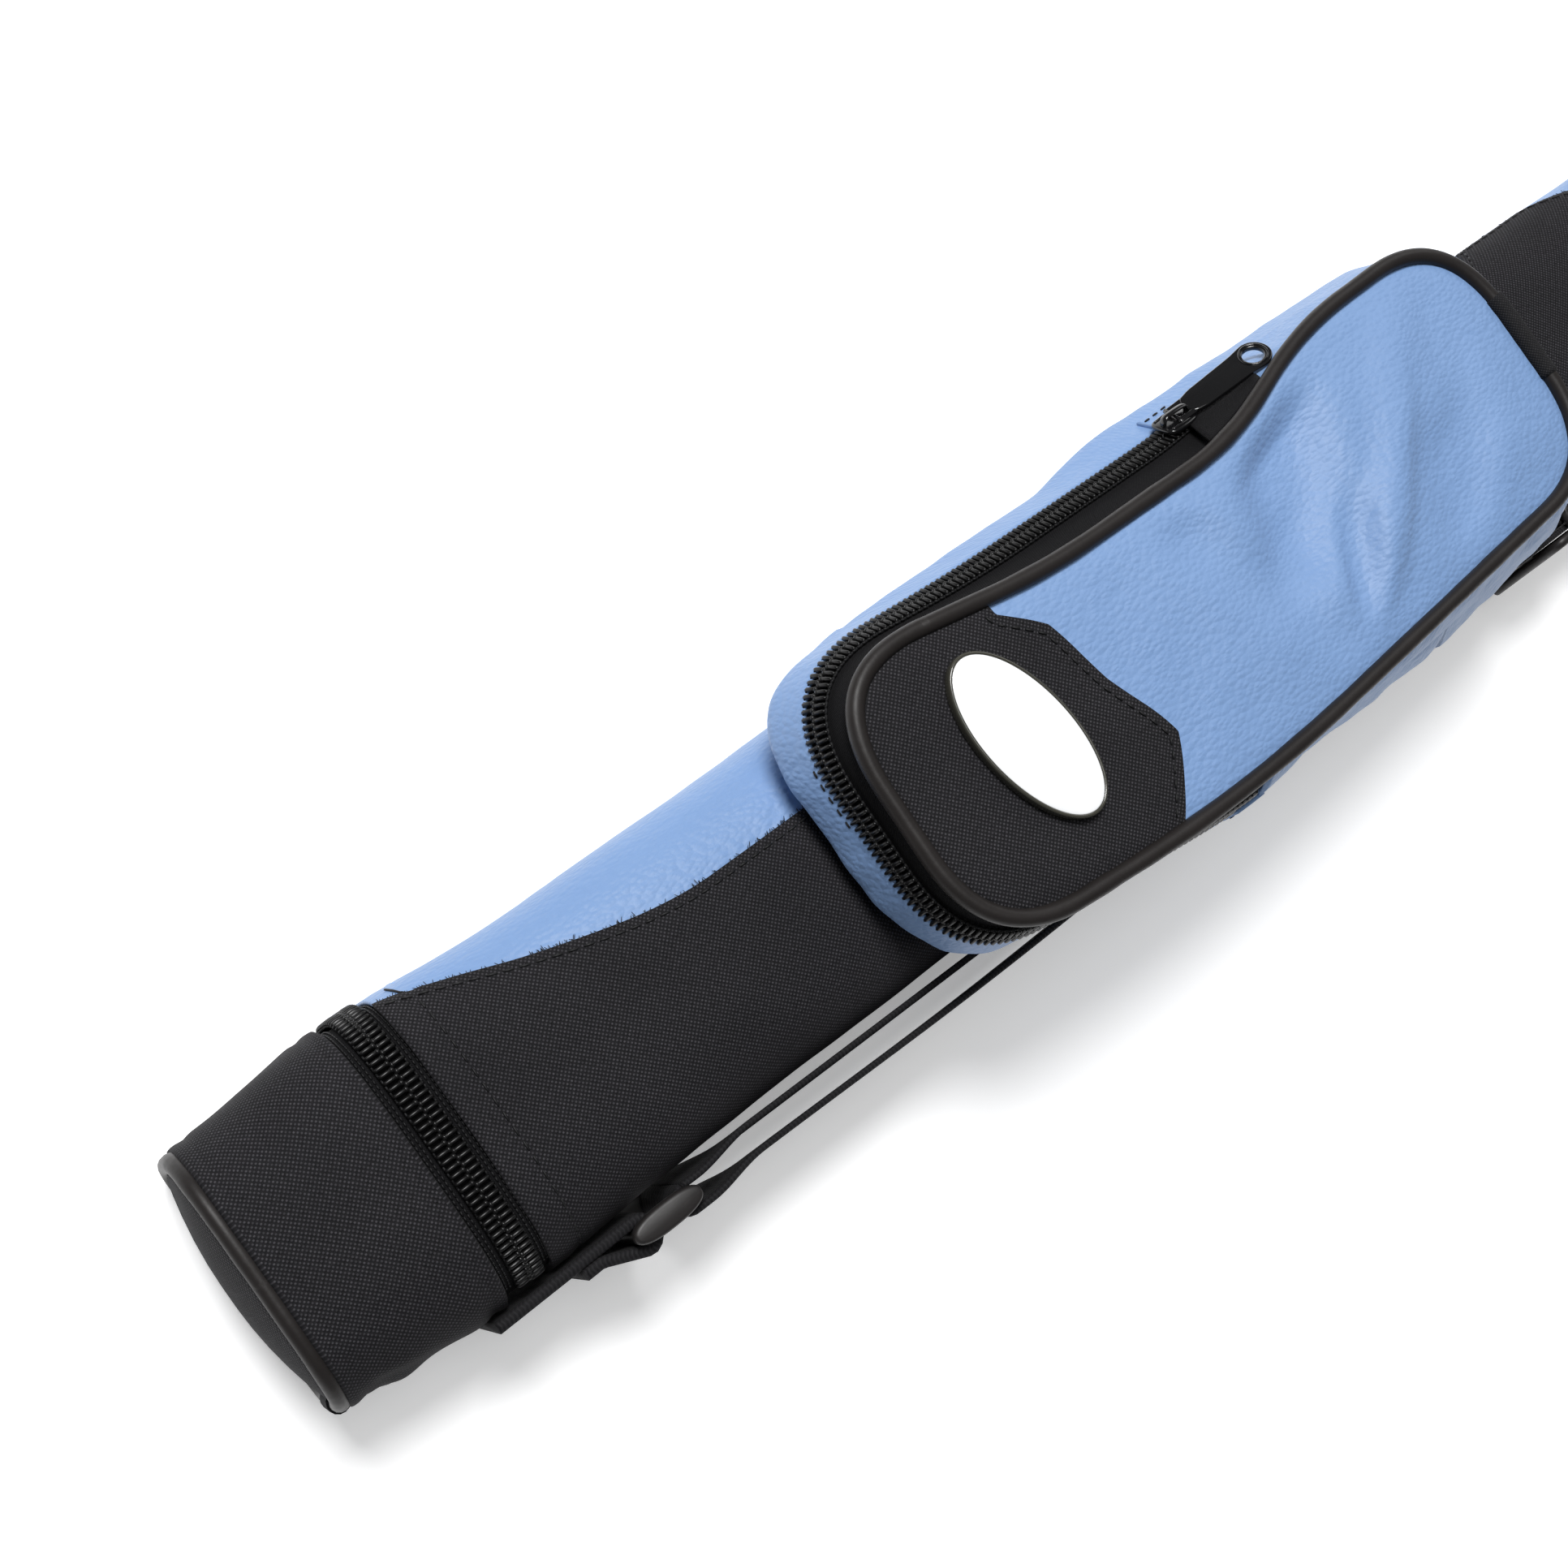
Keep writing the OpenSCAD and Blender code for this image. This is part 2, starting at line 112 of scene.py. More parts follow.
# ---- small maths ----
def smooth(u):
    v = np.clip(u, 0, 1)
    return v * v * (3 - 2 * v)


def mix(a, b, t):
    return a + (b - a) * t


def unit(v):
    return v / np.maximum(np.linalg.norm(v, axis=-1, keepdims=True), 1e-9)


def bump_at(x, place, width):
    """A soft ridge of height 1 at place."""
    return np.exp(-(((x - place) / width) ** 2))


def ripple(u, v, size, seed):
    """Smooth irregular waves between about -1 and 1, each about size across."""
    rng = np.random.default_rng(seed)
    total = np.zeros(np.broadcast(u, v).shape)
    for _ in range(7):
        angle = rng.uniform(0, math.pi)
        wave = rng.uniform(0.6, 1.6) * 2 * math.pi / size
        total = total + np.sin(wave * (u * math.cos(angle) + v * math.sin(angle)) + rng.uniform(0, 6.28))
    return total / 3.5


def path_length(points):
    return np.concatenate([[0], np.cumsum(np.linalg.norm(np.diff(points, axis=0), axis=1))])


def at_length(at, s, points):
    """Points at the lengths at, on a polyline whose corners lie at the lengths s."""
    return np.stack([np.interp(at, s, points[:, k]) for k in range(points.shape[1])], axis=-1)


def spaced(points, pitch=None, count=None, closed=False):
    """Points at even steps along a polyline."""
    if closed:
        points = np.vstack([points, points[:1]])
    s = path_length(points)
    if count is None:
        count = max(2, int(round(s[-1] / pitch)) + (0 if closed else 1))
    return at_length(np.linspace(0, s[-1], count, endpoint=not closed), s, points)


def turns(along, normals):
    """Rotation for each point: x along, z near the normal."""
    side = unit(np.cross(normals, along))
    return np.stack([along, side, np.cross(along, side)], axis=2)


def frames_along(points, normals, closed=False):
    """Rotation for each point of a path: x along the path, z along its normal."""
    if closed:
        return turns(unit(np.roll(points, -1, axis=0) - np.roll(points, 1, axis=0)), normals)
    return turns(unit(np.gradient(points, axis=0)), normals)


def cut_corners(line):
    """One pass of corner cutting: two points on each chord, at a quarter and at three quarters."""
    cut = np.empty((2 * len(line) - 2, line.shape[1]))
    cut[0::2], cut[1::2] = mix(line[:-1], line[1:], 0.25), mix(line[:-1], line[1:], 0.75)
    return cut


def smooth_line(corners, count):
    """A curve through the ends of straight chords, with the corners between them rounded."""
    line = np.asarray(corners, float)
    for _ in range(3):
        line = np.vstack([line[:1], cut_corners(line), line[-1:]])
    return spaced(line, count=count)


def round_rectangle(x0, x1, y0, y1, r, steps):
    """Outline of a rectangle with round corners."""
    corners = ((x1 - r, y0 + r, -90), (x1 - r, y1 - r, 0), (x0 + r, y1 - r, 90), (x0 + r, y0 + r, 180))
    return np.array([[cx + r * math.cos(a), cy + r * math.sin(a)]
                     for cx, cy, start in corners for a in np.radians(start + np.linspace(0, 90, steps))])


def ring_angles(count):
    return np.arange(count) * 2 * math.pi / count


def upright(loop, z):
    """A plan line lifted to height z."""
    return np.column_stack([loop, np.broadcast_to(z, len(loop))])


# ---- mesh pieces ----
def quads(nu, nv, close_u=False, close_v=False):
    """Faces of a grid of nu rows and nv columns."""
    i = np.arange(nu if close_u else nu - 1)
    j = np.arange(nv if close_v else nv - 1)
    i, j = np.meshgrid(i, j, indexing="ij")
    a = i * nv + j
    b = (i + 1) % nu * nv + j
    c = (i + 1) % nu * nv + (j + 1) % nv
    d = i * nv + (j + 1) % nv
    return np.stack([a, b, c, d], axis=-1).reshape(-1, 4)


def grid_pattern(points):
    """Flat cloth coordinates of a grid, from its lengths along rows and columns."""
    du = np.linalg.norm(np.diff(points, axis=0), axis=2).mean(axis=1)
    u = np.concatenate([[0], np.cumsum(du)])[:, None]
    dv = np.linalg.norm(np.diff(points, axis=1), axis=2).mean(axis=0)
    v = np.concatenate([[0], np.cumsum(dv)])[None, :]
    return np.stack([u + 0 * v, v + 0 * u, 0 * u + 0 * v], axis=2)


class Piece:
    """One Blender object, put together from grids and repeated small solids."""

    def __init__(self, name, slot, *materials):
        self.name = name
        self.slot = slot
        self.materials = materials
        self.points, self.patterns, self.faces, self.marks = [], [], [], []
        self.count = 0

    def solid(self, points, faces, pattern=None, material=0):
        points = np.asarray(points, float).reshape(-1, 3)
        pattern = points if pattern is None else np.asarray(pattern, float).reshape(-1, 3)
        self.points.append(points)
        self.patterns.append(pattern)
        for face in faces:
            self.faces.append([int(k) + self.count for k in face])
            self.marks.append(material)
        self.count += len(points)
        return self

    def grid(self, points, close_u=False, close_v=False, pattern=None, material=0, caps=False, sides=False):
        nu, nv = points.shape[:2]
        faces = list(quads(nu, nv, close_u, close_v))
        if caps:
            faces += [list(range(nv)), list(range((nu - 1) * nv, nu * nv))[::-1]]
        if sides:
            faces += [[i * nv for i in range(nu)], [i * nv + nv - 1 for i in range(nu)][::-1]]
        if pattern is None:
            pattern = grid_pattern(points)
        return self.solid(points, faces, pattern, material)

    def rod(self, path, radius, sides, normals=(0, 0, 1), closed=False, squeeze=1.0, move=None, material=0):
        """Round rod along a path, with flat ends unless it is closed."""
        points = tube_grid(path, radius, sides, normals, closed, squeeze)
        if move is not None:
            points = placed(points, move)
        return self.grid(points, closed, True, material=material, caps=not closed)

    def plate(self, outer, z0, z1, bevel, move=None, **shape):
        """Plate with rounded rims from a plan outline."""
        rows = outline_slab(outer, z0, z1, bevel, **shape)
        return self.grid(rows if move is None else placed(rows, move), "hole" in shape, True)

    def copies(self, shape, origins, turn, material=0):
        """A small solid repeated at each origin, turned by its rotation matrix."""
        points, faces = shape
        points = np.einsum("nij,kj->nki", turn, points) + np.asarray(origins)[:, None, :]
        first = (np.arange(len(origins)) * points.shape[1])[:, None, None]
        faces = (np.asarray(faces)[None] + first).reshape(-1, len(faces[0]))
        return self.solid(points, faces, points, material)

    def make(self, body=None, stands_for=(), padded=None):
        mesh = bpy.data.meshes.new(self.name)
        points = np.vstack(self.points) * MM
        mesh.from_pydata(points.tolist(), [], self.faces)
        pattern = mesh.attributes.new("pattern", "FLOAT_VECTOR", "POINT")
        pattern.data.foreach_set("vector", (np.vstack(self.patterns) * MM).ravel())
        for material in self.materials:
            mesh.materials.append(material)
        mesh.polygons.foreach_set("material_index", self.marks)
        mesh.polygons.foreach_set("use_smooth", [True] * len(self.faces))
        work = bmesh.new()
        work.from_mesh(mesh)
        bmesh.ops.remove_doubles(work, verts=work.verts, dist=1e-6)
        bmesh.ops.recalc_face_normals(work, faces=work.faces)
        work.to_mesh(mesh)
        work.free()
        mesh.update()
        piece = bpy.data.objects.new(self.name, mesh)
        bpy.context.scene.collection.objects.link(piece)
        if stands_for:
            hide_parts(*stands_for)
        if body:
            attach(piece, body)
        return piece


def shell(piece, outer, thick, normal, close_v=True):
    """A cloth shell: the outer grid, the same grid moved in by thick, and rounded edges between them."""
    inner = outer - normal * thick

    def edge(out_row, in_row, away):
        return np.array([(out_row + in_row) / 2 + (out_row - in_row) / 2 * math.cos(a * math.pi)
                         + away * (thick / 2) * math.sin(a * math.pi) for a in (0.15, 0.5, 0.85)])

    start = edge(inner[0], outer[0], unit(outer[0] - outer[1]))
    end = edge(outer[-1], inner[-1], unit(outer[-1] - outer[-2]))
    pattern = grid_pattern(outer)
    pattern = np.concatenate([pattern, np.repeat(pattern[-1:], len(end), axis=0),
                              pattern[::-1], np.repeat(pattern[:1], len(start), axis=0)])
    loop = np.concatenate([outer, end, inner[::-1], start])
    piece.grid(loop, True, close_v, pattern, sides=not close_v)


def grid_normals(points, close_v=False):
    if close_v:
        along = np.roll(points, -1, axis=1) - np.roll(points, 1, axis=1)
    else:
        along = np.gradient(points, axis=1)
    return unit(np.cross(np.gradient(points, axis=0), along))


def tube_grid(centres, radius, sides=10, normals=(0, 0, 1), closed=False, squeeze=1.0):
    """Grid round a path; squeeze flattens it along the normals."""
    turn = frames_along(centres, np.broadcast_to(np.asarray(normals, float), centres.shape), closed)
    a = ring_angles(sides)[None, :, None]
    radius = np.broadcast_to(radius, (len(centres),))[:, None, None]
    ring = np.cos(a) * turn[:, None, :, 1] + squeeze * np.sin(a) * turn[:, None, :, 2]
    return centres[:, None, :] + radius * ring


def capsule(length, width, height, sides=8, rings=5):
    """Rounded bar along x, with its middle at the origin."""
    a = np.linspace(0, math.pi, rings + 2)[1:-1]
    x = -np.sign(np.cos(a)) * np.abs(np.cos(a)) ** 0.6 * length / 2
    points = [[-length / 2, 0, 0]]
    for xi, ri in zip(x, np.sin(a) ** 0.6):
        points += [[xi, ri * width / 2 * math.cos(t), ri * height / 2 * math.sin(t)]
                   for t in ring_angles(sides)]
    points.append([length / 2, 0, 0])
    faces = []
    step, last = np.array([0, 0, sides, sides]), len(points) - 1
    turned = [(j, (j + 1) % sides) for j in range(sides)]
    for i in range(rings - 1):
        faces += [list(1 + i * sides + step + [j, k, k, j]) for j, k in turned]
    for j, k in turned:
        faces += [[0, 1 + k, 1 + j, 1 + j], [last, last - sides + j, last - sides + k, last - sides + k]]
    return np.array(points), faces


def outline_slab(outer, z0, z1, bevel, hole=None, crown=0.0):
    """Plate with rounded rims from a plan outline, with or without a hole of the same number of points."""
    def moved(loop, by):
        along = unit(np.roll(loop, -1, axis=0) - np.roll(loop, 1, axis=0))
        return loop + np.stack([along[:, 1], -along[:, 0]], axis=1) * by

    steps = np.linspace(0, math.pi / 2, 4)
    rise = [(bevel * (1 - math.sin(a)), bevel * (1 - math.cos(a))) for a in steps]
    rows = [upright(moved(outer, -d), z0 + e) for d, e in rise]
    rows += [upright(moved(outer, -e), z1 - d) for d, e in rise]
    if hole is None:
        middle = outer.mean(axis=0)
        inner = moved(outer, -bevel)
        rows += [upright(mix(middle, inner, f), z1 + crown * (1 - f * f)) for f in (0.6, 0.25, 0.0)]
        return np.array([upright(mix(middle, inner, f), z0) for f in (0.25, 0.6, 0.85)] + rows)
    rows += [upright(moved(hole, d), z1 - e) for d, e in rise]
    rows += [upright(moved(hole, e), z0 + d) for d, e in rise]
    return np.array(rows)


# ---- materials ----
class Maker:
    """Short way to write a node material."""

    def __init__(self, name, colour, roughness):
        self.material = bpy.data.materials.new(name)
        self.material.use_nodes = True
        self.tree = self.material.node_tree
        self.shader = self.tree.nodes["Principled BSDF"]
        self.shader.inputs["Base Color"].default_value = (*colour, 1)
        self.shader.inputs["Roughness"].default_value = roughness

    def node(self, kind, settings=None, **inputs):
        made = self.tree.nodes.new(kind)
        for key, value in (settings or {}).items():
            setattr(made, key, value)
        for key, value in inputs.items():
            socket = made.inputs[int(key[1:])] if key[0] == "i" and key[1:].isdigit() else made.inputs[key]
            self.put(socket, value)
        return made

    def put(self, socket, value):
        if isinstance(value, bpy.types.NodeSocket):
            self.tree.links.new(value, socket)
        else:
            socket.default_value = value

    def math(self, operation, *values, clamp=False):
        inputs = {f"i{k}": value for k, value in enumerate(values)}
        return self.node("ShaderNodeMath", {"operation": operation, "use_clamp": clamp}, **inputs).outputs[0]

    def add(self, a, b):
        return self.math("ADD", a, b)

    def times(self, a, b, clamp=False):
        return self.math("MULTIPLY", a, b, clamp=clamp)

    def fixed(self, **values):
        """Constants set on the shader's sockets."""
        for name, value in values.items():
            self.shader.inputs[name.replace("_", " ")].default_value = value

    def ramp(self, value, low, high):
        """0 at low, 1 at high, smooth between."""
        made = self.node("ShaderNodeMapRange", {"interpolation_type": "SMOOTHSTEP"}, i0=value, i1=low, i2=high)
        return made.outputs[0]

    def coordinates(self, use_pattern=True):
        if use_pattern:
            return self.node("ShaderNodeAttribute", {"attribute_name": "pattern"}).outputs["Vector"]
        return self.node("ShaderNodeTexCoord").outputs["Object"]

    def noise(self, place, scale, detail=3.0, rough=0.55):
        made = self.node("ShaderNodeTexNoise", None, Vector=place, Scale=scale, Detail=detail, Roughness=rough)
        return made.outputs[0]

    def colour(self, factor, a, b):
        made = self.node("ShaderNodeMix", {"data_type": "RGBA"}, i0=factor)
        made.inputs[6].default_value = (*a, 1)
        made.inputs[7].default_value = (*b, 1)
        self.tree.links.new(made.outputs[2], self.shader.inputs["Base Color"])
        return made.outputs[2]

    def roughness(self, value, low, high):
        made = self.node("ShaderNodeMapRange", None, i0=value, i3=low, i4=high)
        self.tree.links.new(made.outputs[0], self.shader.inputs["Roughness"])

    def bump(self, height, strength, distance_mm, under=None):
        inputs = {"Strength": strength, "Distance": distance_mm * MM, "Height": height}
        if under is not None:
            inputs["Normal"] = under
        made = self.node("ShaderNodeBump", None, **inputs)
        self.tree.links.new(made.outputs[0], self.shader.inputs["Normal"])
        return made.outputs[0]

    def axes(self, place):
        split = self.node("ShaderNodeSeparateXYZ", None, i0=place)
        return split.outputs[0], split.outputs[1], split.outputs[2]

    def wave(self, value, pitch_mm, shift=0.5):
        """Sine of a length, with one period each pitch."""
        return self.math("SINE", self.math("MULTIPLY_ADD", value, 2 * math.pi / (pitch_mm * MM), shift))


def leatherette():
    m = Maker("blue_leatherette", (0.165, 0.275, 0.49), 0.5)
    place = m.coordinates()
    turned = m.node("ShaderNodeMapping", None, Vector=place, Rotation=(0, 0, math.radians(35)),
                    Scale=(0.58, 1, 1))
    cells = m.node("ShaderNodeTexVoronoi", {"feature": "SMOOTH_F1"}, Vector=turned.outputs[0], Scale=1000.0,
                   Smoothness=0.3).outputs[0]
    creases = m.noise(place, 420.0, 4.0, 0.6)
    grain = m.math("SUBTRACT", m.times(creases, 0.8), cells)
    broad = m.noise(place, 28.0, 2.0, 0.5)
    m.colour(m.add(m.times(broad, 0.7), m.times(creases, 0.3)), (0.146, 0.251, 0.462), (0.182, 0.298, 0.52))
    m.roughness(creases, 0.42, 0.62)
    m.bump(grain, 0.64, 0.3, m.bump(m.noise(place, 90.0, 2.0, 0.5), 0.12, 0.9))
    m.fixed(Specular_IOR_Level=0.42, Sheen_Weight=0.06)
    return m.material


def woven(name, dark, light, pitch_mm, roughness=0.78, fleck=0.7, use_pattern=True):
    m = Maker(name, dark, roughness)
    place = m.coordinates(use_pattern)
    x, y, z = m.axes(place)
    if not use_pattern:
        y = m.add(y, z)
    over = m.times(m.wave(x, pitch_mm, 0.4), m.wave(y, pitch_mm, 0.1))
    fuzz = m.noise(place, 900.0, 3.0, 0.6)
    broad = m.noise(place, 45.0, 2.0, 0.5)
    uneven = m.ramp(m.noise(place, 1300.0, 2.0, 0.6), 0.3, 0.68)
    dots = m.times(m.ramp(over, 0.0, 0.8), m.add(m.times(uneven, 0.75), 0.45))
    level = m.add(m.times(dots, fleck), m.times(fuzz, 0.3))
    m.colour(m.times(level, m.add(m.times(broad, 0.5), 0.75), True), dark, light)
    m.roughness(fuzz, roughness - 0.1, roughness + 0.1)
    m.bump(m.add(m.times(over, 0.6), m.times(fuzz, 0.6)), 0.55, 0.16)
    m.fixed(Sheen_Weight=0.015, Sheen_Roughness=0.5, Specular_IOR_Level=0.09)
    return m.material


def webbing_cloth():
    m = Maker("webbing", (0.006, 0.006, 0.007), 0.7)
    place = m.coordinates()
    x, y, _ = m.axes(place)
    rib = m.wave(y, 1.9)
    twill = m.wave(m.add(x, m.times(m.math("ABSOLUTE", rib), 0.0006)), 0.9)
    fuzz = m.noise(place, 800.0, 3.0)
    height = m.add(m.add(m.times(rib, 0.5), m.times(twill, 0.5)), fuzz)
    m.colour(m.ramp(height, -0.4, 1.6), (0.0025, 0.0025, 0.003), (0.014, 0.0135, 0.015))
    m.roughness(fuzz, 0.6, 0.82)
    m.bump(height, 0.6, 0.25)
    m.fixed(Specular_IOR_Level=0.16, Sheen_Weight=0.015)
    return m.material


def moulded(name, dark, light, roughness, grain=0.05, coat=0.0, specular=0.5):
    m = Maker(name, dark, roughness)
    place = m.coordinates()
    speck = m.noise(place, 700.0, 3.0)
    m.colour(m.noise(place, 60.0, 2.0), dark, light)
    m.roughness(speck, roughness * 0.8, min(1, roughness * 1.25))
    m.bump(speck, grain, 0.12)
    m.fixed(Coat_Weight=coat, Coat_Roughness=0.08, Specular_IOR_Level=specular)
    return m.material


def piping_cloth():
    m = Maker("piping", (0.028, 0.024, 0.023), 0.42)
    place = m.coordinates()
    grain = m.noise(place, 600.0, 4.0)
    broad = m.noise(place, 70.0, 2.0)
    m.colour(broad, (0.011, 0.0095, 0.0092), (0.02, 0.0172, 0.0165))
    m.roughness(grain, 0.36, 0.54)
    m.bump(m.add(grain, m.times(broad, 0.8)), 0.22, 0.25)
    m.fixed(Specular_IOR_Level=0.23)
    return m.material


def foam_cells():
    m = Maker("foam", (0.12, 0.12, 0.125), 0.95)
    cells = m.node("ShaderNodeTexVoronoi", {"feature": "F1"}, Vector=m.coordinates(), Scale=1400.0).outputs[0]
    m.colour(cells, (0.04, 0.04, 0.042), (0.16, 0.16, 0.165))
    m.bump(cells, 0.6, 0.3)
    return m.material


def fibre_board(use_pattern):
    m = Maker("liner_board", (0.2, 0.17, 0.13), 0.85)
    fibre = m.noise(m.coordinates(use_pattern), 260.0, 5.0, 0.7)
    m.colour(fibre, (0.13, 0.11, 0.085), (0.27, 0.23, 0.18))
    m.roughness(fibre, 0.75, 0.95)
    m.bump(fibre, 0.3, 0.2)
    return m.material


def badge_white():
    m = Maker("badge_face", (0.86, 0.87, 0.88), 0.12)
    wear = m.noise(m.coordinates(), 220.0, 3.0)
    m.colour(m.ramp(wear, 0.35, 0.75), (0.84, 0.85, 0.865), (0.9, 0.905, 0.91))
    m.roughness(wear, 0.08, 0.2)
    m.fixed(Coat_Weight=0.6, Coat_Roughness=0.04)
    return m.material


BLUE = leatherette()
WEAVE = woven("black_woven", (0.002, 0.002, 0.0025), (0.057, 0.055, 0.061), 1.04)
TAPE = woven("zip_tape", (0.003, 0.003, 0.0035), (0.016, 0.0155, 0.017), 0.5, 0.85, 0.4)
COIL = moulded("zip_coil", (0.003, 0.003, 0.0032), (0.007, 0.0068, 0.007), 0.3, 0.03, 0.0, 0.26)
THREAD = moulded("thread", (0.004, 0.004, 0.0045), (0.012, 0.012, 0.013), 0.55, 0.1, 0.0, 0.25)
BLUE_THREAD = moulded("blue_thread", (0.19, 0.33, 0.6), (0.25, 0.4, 0.68), 0.5, 0.1)
PIPING = piping_cloth()
SLEEVE = woven("piping_sleeve", (0.008, 0.008, 0.009), (0.035, 0.034, 0.036), 0.8)
WEBBING = webbing_cloth()
PLASTIC = moulded("strap_plastic", (0.012, 0.011, 0.0108), (0.022, 0.0195, 0.019), 0.42, 0.08, 0.0, 0.34)
FOAM = foam_cells()
BOARD = fibre_board(True)
CAD_BOARD = fibre_board(False)
CAD_LINING = woven("lining_cloth_inside", (0.05, 0.052, 0.058), (0.16, 0.165, 0.175), 0.9, 0.85, 0.5, False)
METAL = moulded("zip_metal", (0.003, 0.003, 0.0035), (0.007, 0.007, 0.0075), 0.14, 0.02, 0.35, 0.4)
BEZEL = moulded("badge_bezel", (0.03, 0.029, 0.022), (0.055, 0.053, 0.042), 0.22, 0.02, 0.4, 0.5)
BADGE = badge_white()


# ---- the tube's surface ----
SECTION_POINTS = 1440
CROWN_POWER = 2.9
BASE_POWER = 5.5


def unit_section():
    """The tube's section, from the middle of the top round by -Y: place, outward normal and length."""
    a = np.linspace(0, 2 * math.pi, SECTION_POINTS + 1)
    power = np.where(np.cos(a) >= 0, CROWN_POWER, BASE_POWER)
    y = -np.sign(np.sin(a)) * np.abs(np.sin(a)) ** (2 / power) * HALF_W
    z = (1 + np.sign(np.cos(a)) * np.abs(np.cos(a)) ** (2 / power)) * TUBE_H / 2
    points = np.column_stack([y, z])
    s = path_length(points)
    even = np.linspace(0, s[-1], SECTION_POINTS + 1)
    points = at_length(even, s, points)
    along = unit(np.roll(points[:-1], -2, axis=0) - np.roll(points[:-1], 2, axis=0))
    along = np.vstack([along, along[:1]])
    return even, points, np.column_stack([along[:, 1], -along[:, 0]])


SECTION_S, SECTION_YZ, SECTION_N = unit_section()
GIRTH = SECTION_S[-1]


def half_width(x):
    """How wide the tube is, against its CAD width: it narrows to its ends and swells at the zip."""
    end = 2.6 * smooth((LID_WALL_END + 27 - x) / 30) + 1.2 * smooth((x - WALL_END + 25) / 30)
    belly = 0.7 * smooth((x - MOUTH_X) / 25) * (1 - smooth((x + 300) / 60))
    return HALF_W - end - belly + 0.8 * bump_at(x, ZIP_X, 12)


def on_tube(x, s, depth=0.0, up=0.0):
    """Points on the tube at length x and round length s, a depth below its cloth. up raises the underside."""
    x, s, depth = np.broadcast_arrays(np.asarray(x, float), np.asarray(s, float), np.asarray(depth, float))
    at = np.mod(s, GIRTH)
    yz, n = at_length(at, SECTION_S, SECTION_YZ), at_length(at, SECTION_S, SECTION_N)
    y = yz[..., 0] * half_width(x) / HALF_W - n[..., 0] * depth
    z = yz[..., 1] - n[..., 1] * depth
    z = z + up * smooth((TUBE_H * 0.45 - z) / (TUBE_H * 0.4))
    return np.stack([x, y, z], axis=-1)


def section_normal(s):
    n = at_length(np.mod(s, GIRTH), SECTION_S, SECTION_N)
    return np.stack([0 * n[..., 0], n[..., 0], n[..., 1]], axis=-1)


def tube_normal(s):
    """Outward unit normals of the tube at round length s."""
    return unit(section_normal(s))


def round_at_top(y):
    """Round length of the point of the tube's top that lies at y."""
    half = SECTION_POINTS // 4
    top_y = np.concatenate([SECTION_YZ[-half:-1, 0], SECTION_YZ[:half, 0]])
    top_s = np.concatenate([SECTION_S[-half:-1] - GIRTH, SECTION_S[:half]])
    order = np.argsort(top_y)
    return np.interp(y, top_y[order], top_s[order])


def top_height(y):
    """Height of the tube's top at y."""
    return on_tube(0.0, round_at_top(np.clip(y, 1 - HALF_W, HALF_W - 1)))[..., 2]


def wall_relief(x, s, seams):
    """Cloth height over the stiff tube: soft dents, with a groove along each seam."""
    s = np.mod(s + GIRTH / 2, GIRTH) - GIRTH / 2
    h = 0.22 * ripple(x, s, 46, 3) + 0.1 * ripple(x, s, 17, 5)
    flat = smooth((on_tube(x, s)[..., 2] - 2) / 8)
    for place in seams:
        h = h - 0.35 * bump_at(x, place, 1.1) + 0.25 * bump_at(x, place, 5)
    return h * flat


def tube_shell(piece, x0, x1, depth, thick, columns=176, step=3.0, seams=(), relief=1.0, puckers=0.0):
    """A full round of cloth from x0 to x1; puckers gather its -Y side."""
    x = np.linspace(x0, x1, max(6, int((x1 - x0) / step)))
    for edge, way in ((x0, 1), (x1, -1)):
        x = np.append(x, edge + way * np.array([0.5, 1.0, 1.8]))
    x = np.unique(np.round(x, 3))
    x = x[(x >= x0) & (x <= x1)][:, None]
    s = ((np.arange(columns) / columns - 0.5) * GIRTH)[None, :]
    lift = wall_relief(x, s, seams) * relief
    low_side = bump_at(s, GIRTH * 0.27, 22) * smooth((x - x0) / 8) * smooth((x1 - x) / 6)
    lift = lift + puckers * low_side * (0.6 * np.sin(x / 2.1 + s / 9) + 0.5 * ripple(x, s, 13, 7))
    shell(piece, on_tube(x, s, depth - lift), thick, tube_normal(s[0])[None])


def stitches(piece, points, normals, length=2.3, pitch=STITCH_PITCH):
    """A row of machine stitches along a path, in the piece's second material."""
    s = path_length(points)
    count = max(2, int(s[-1] / pitch))
    at = (np.arange(count) + 0.5) * s[-1] / count
    normal = unit(at_length(at, s, normals))
    along = unit(at_length(at + 0.5, s, points) - at_length(at - 0.5, s, points))
    thread = capsule(length, STITCH_T, STITCH_T, 6, 3)
    piece.copies(thread, at_length(at, s, points) + normal * STITCH_UP, turns(along, normal), 1)


def seam_round(piece, x, depth, seams, s0, s1):
    """Stitches round the tube at x, from round length s0 to s1."""
    s = np.linspace(s0, s1, 260)
    points = on_tube(np.full_like(s, x), s, depth - wall_relief(np.full_like(s, x), s, seams))
    points = np.where(points[:, 2:] > 1.2, points, points + [0, 0, 0.45])
    stitches(piece, points, tube_normal(s))


# ---- camera, floor and light ----
def make_camera():
    """The photograph's viewpoint: close over the lid's end, looking along the case."""
    place = np.array([-0.41816, 0.02792, 0.39555])
    target = np.array([-0.26338, 0.01887, 0.0370])
    roll = math.radians(35.19)
    view = unit(target - place)
    right = unit(np.array([1.0, 0, 0]) - view * view[0])
    up = np.cross(-view, right)
    image_right = math.cos(roll) * right - math.sin(roll) * up
    image_up = math.sin(roll) * right + math.cos(roll) * up
    data = bpy.data.cameras.new("camera")
    data.angle = math.radians(44.46)
    data.clip_start = 0.01
    bpy.context.scene.camera = add_facing("camera", data, place, image_right, image_up, -view)


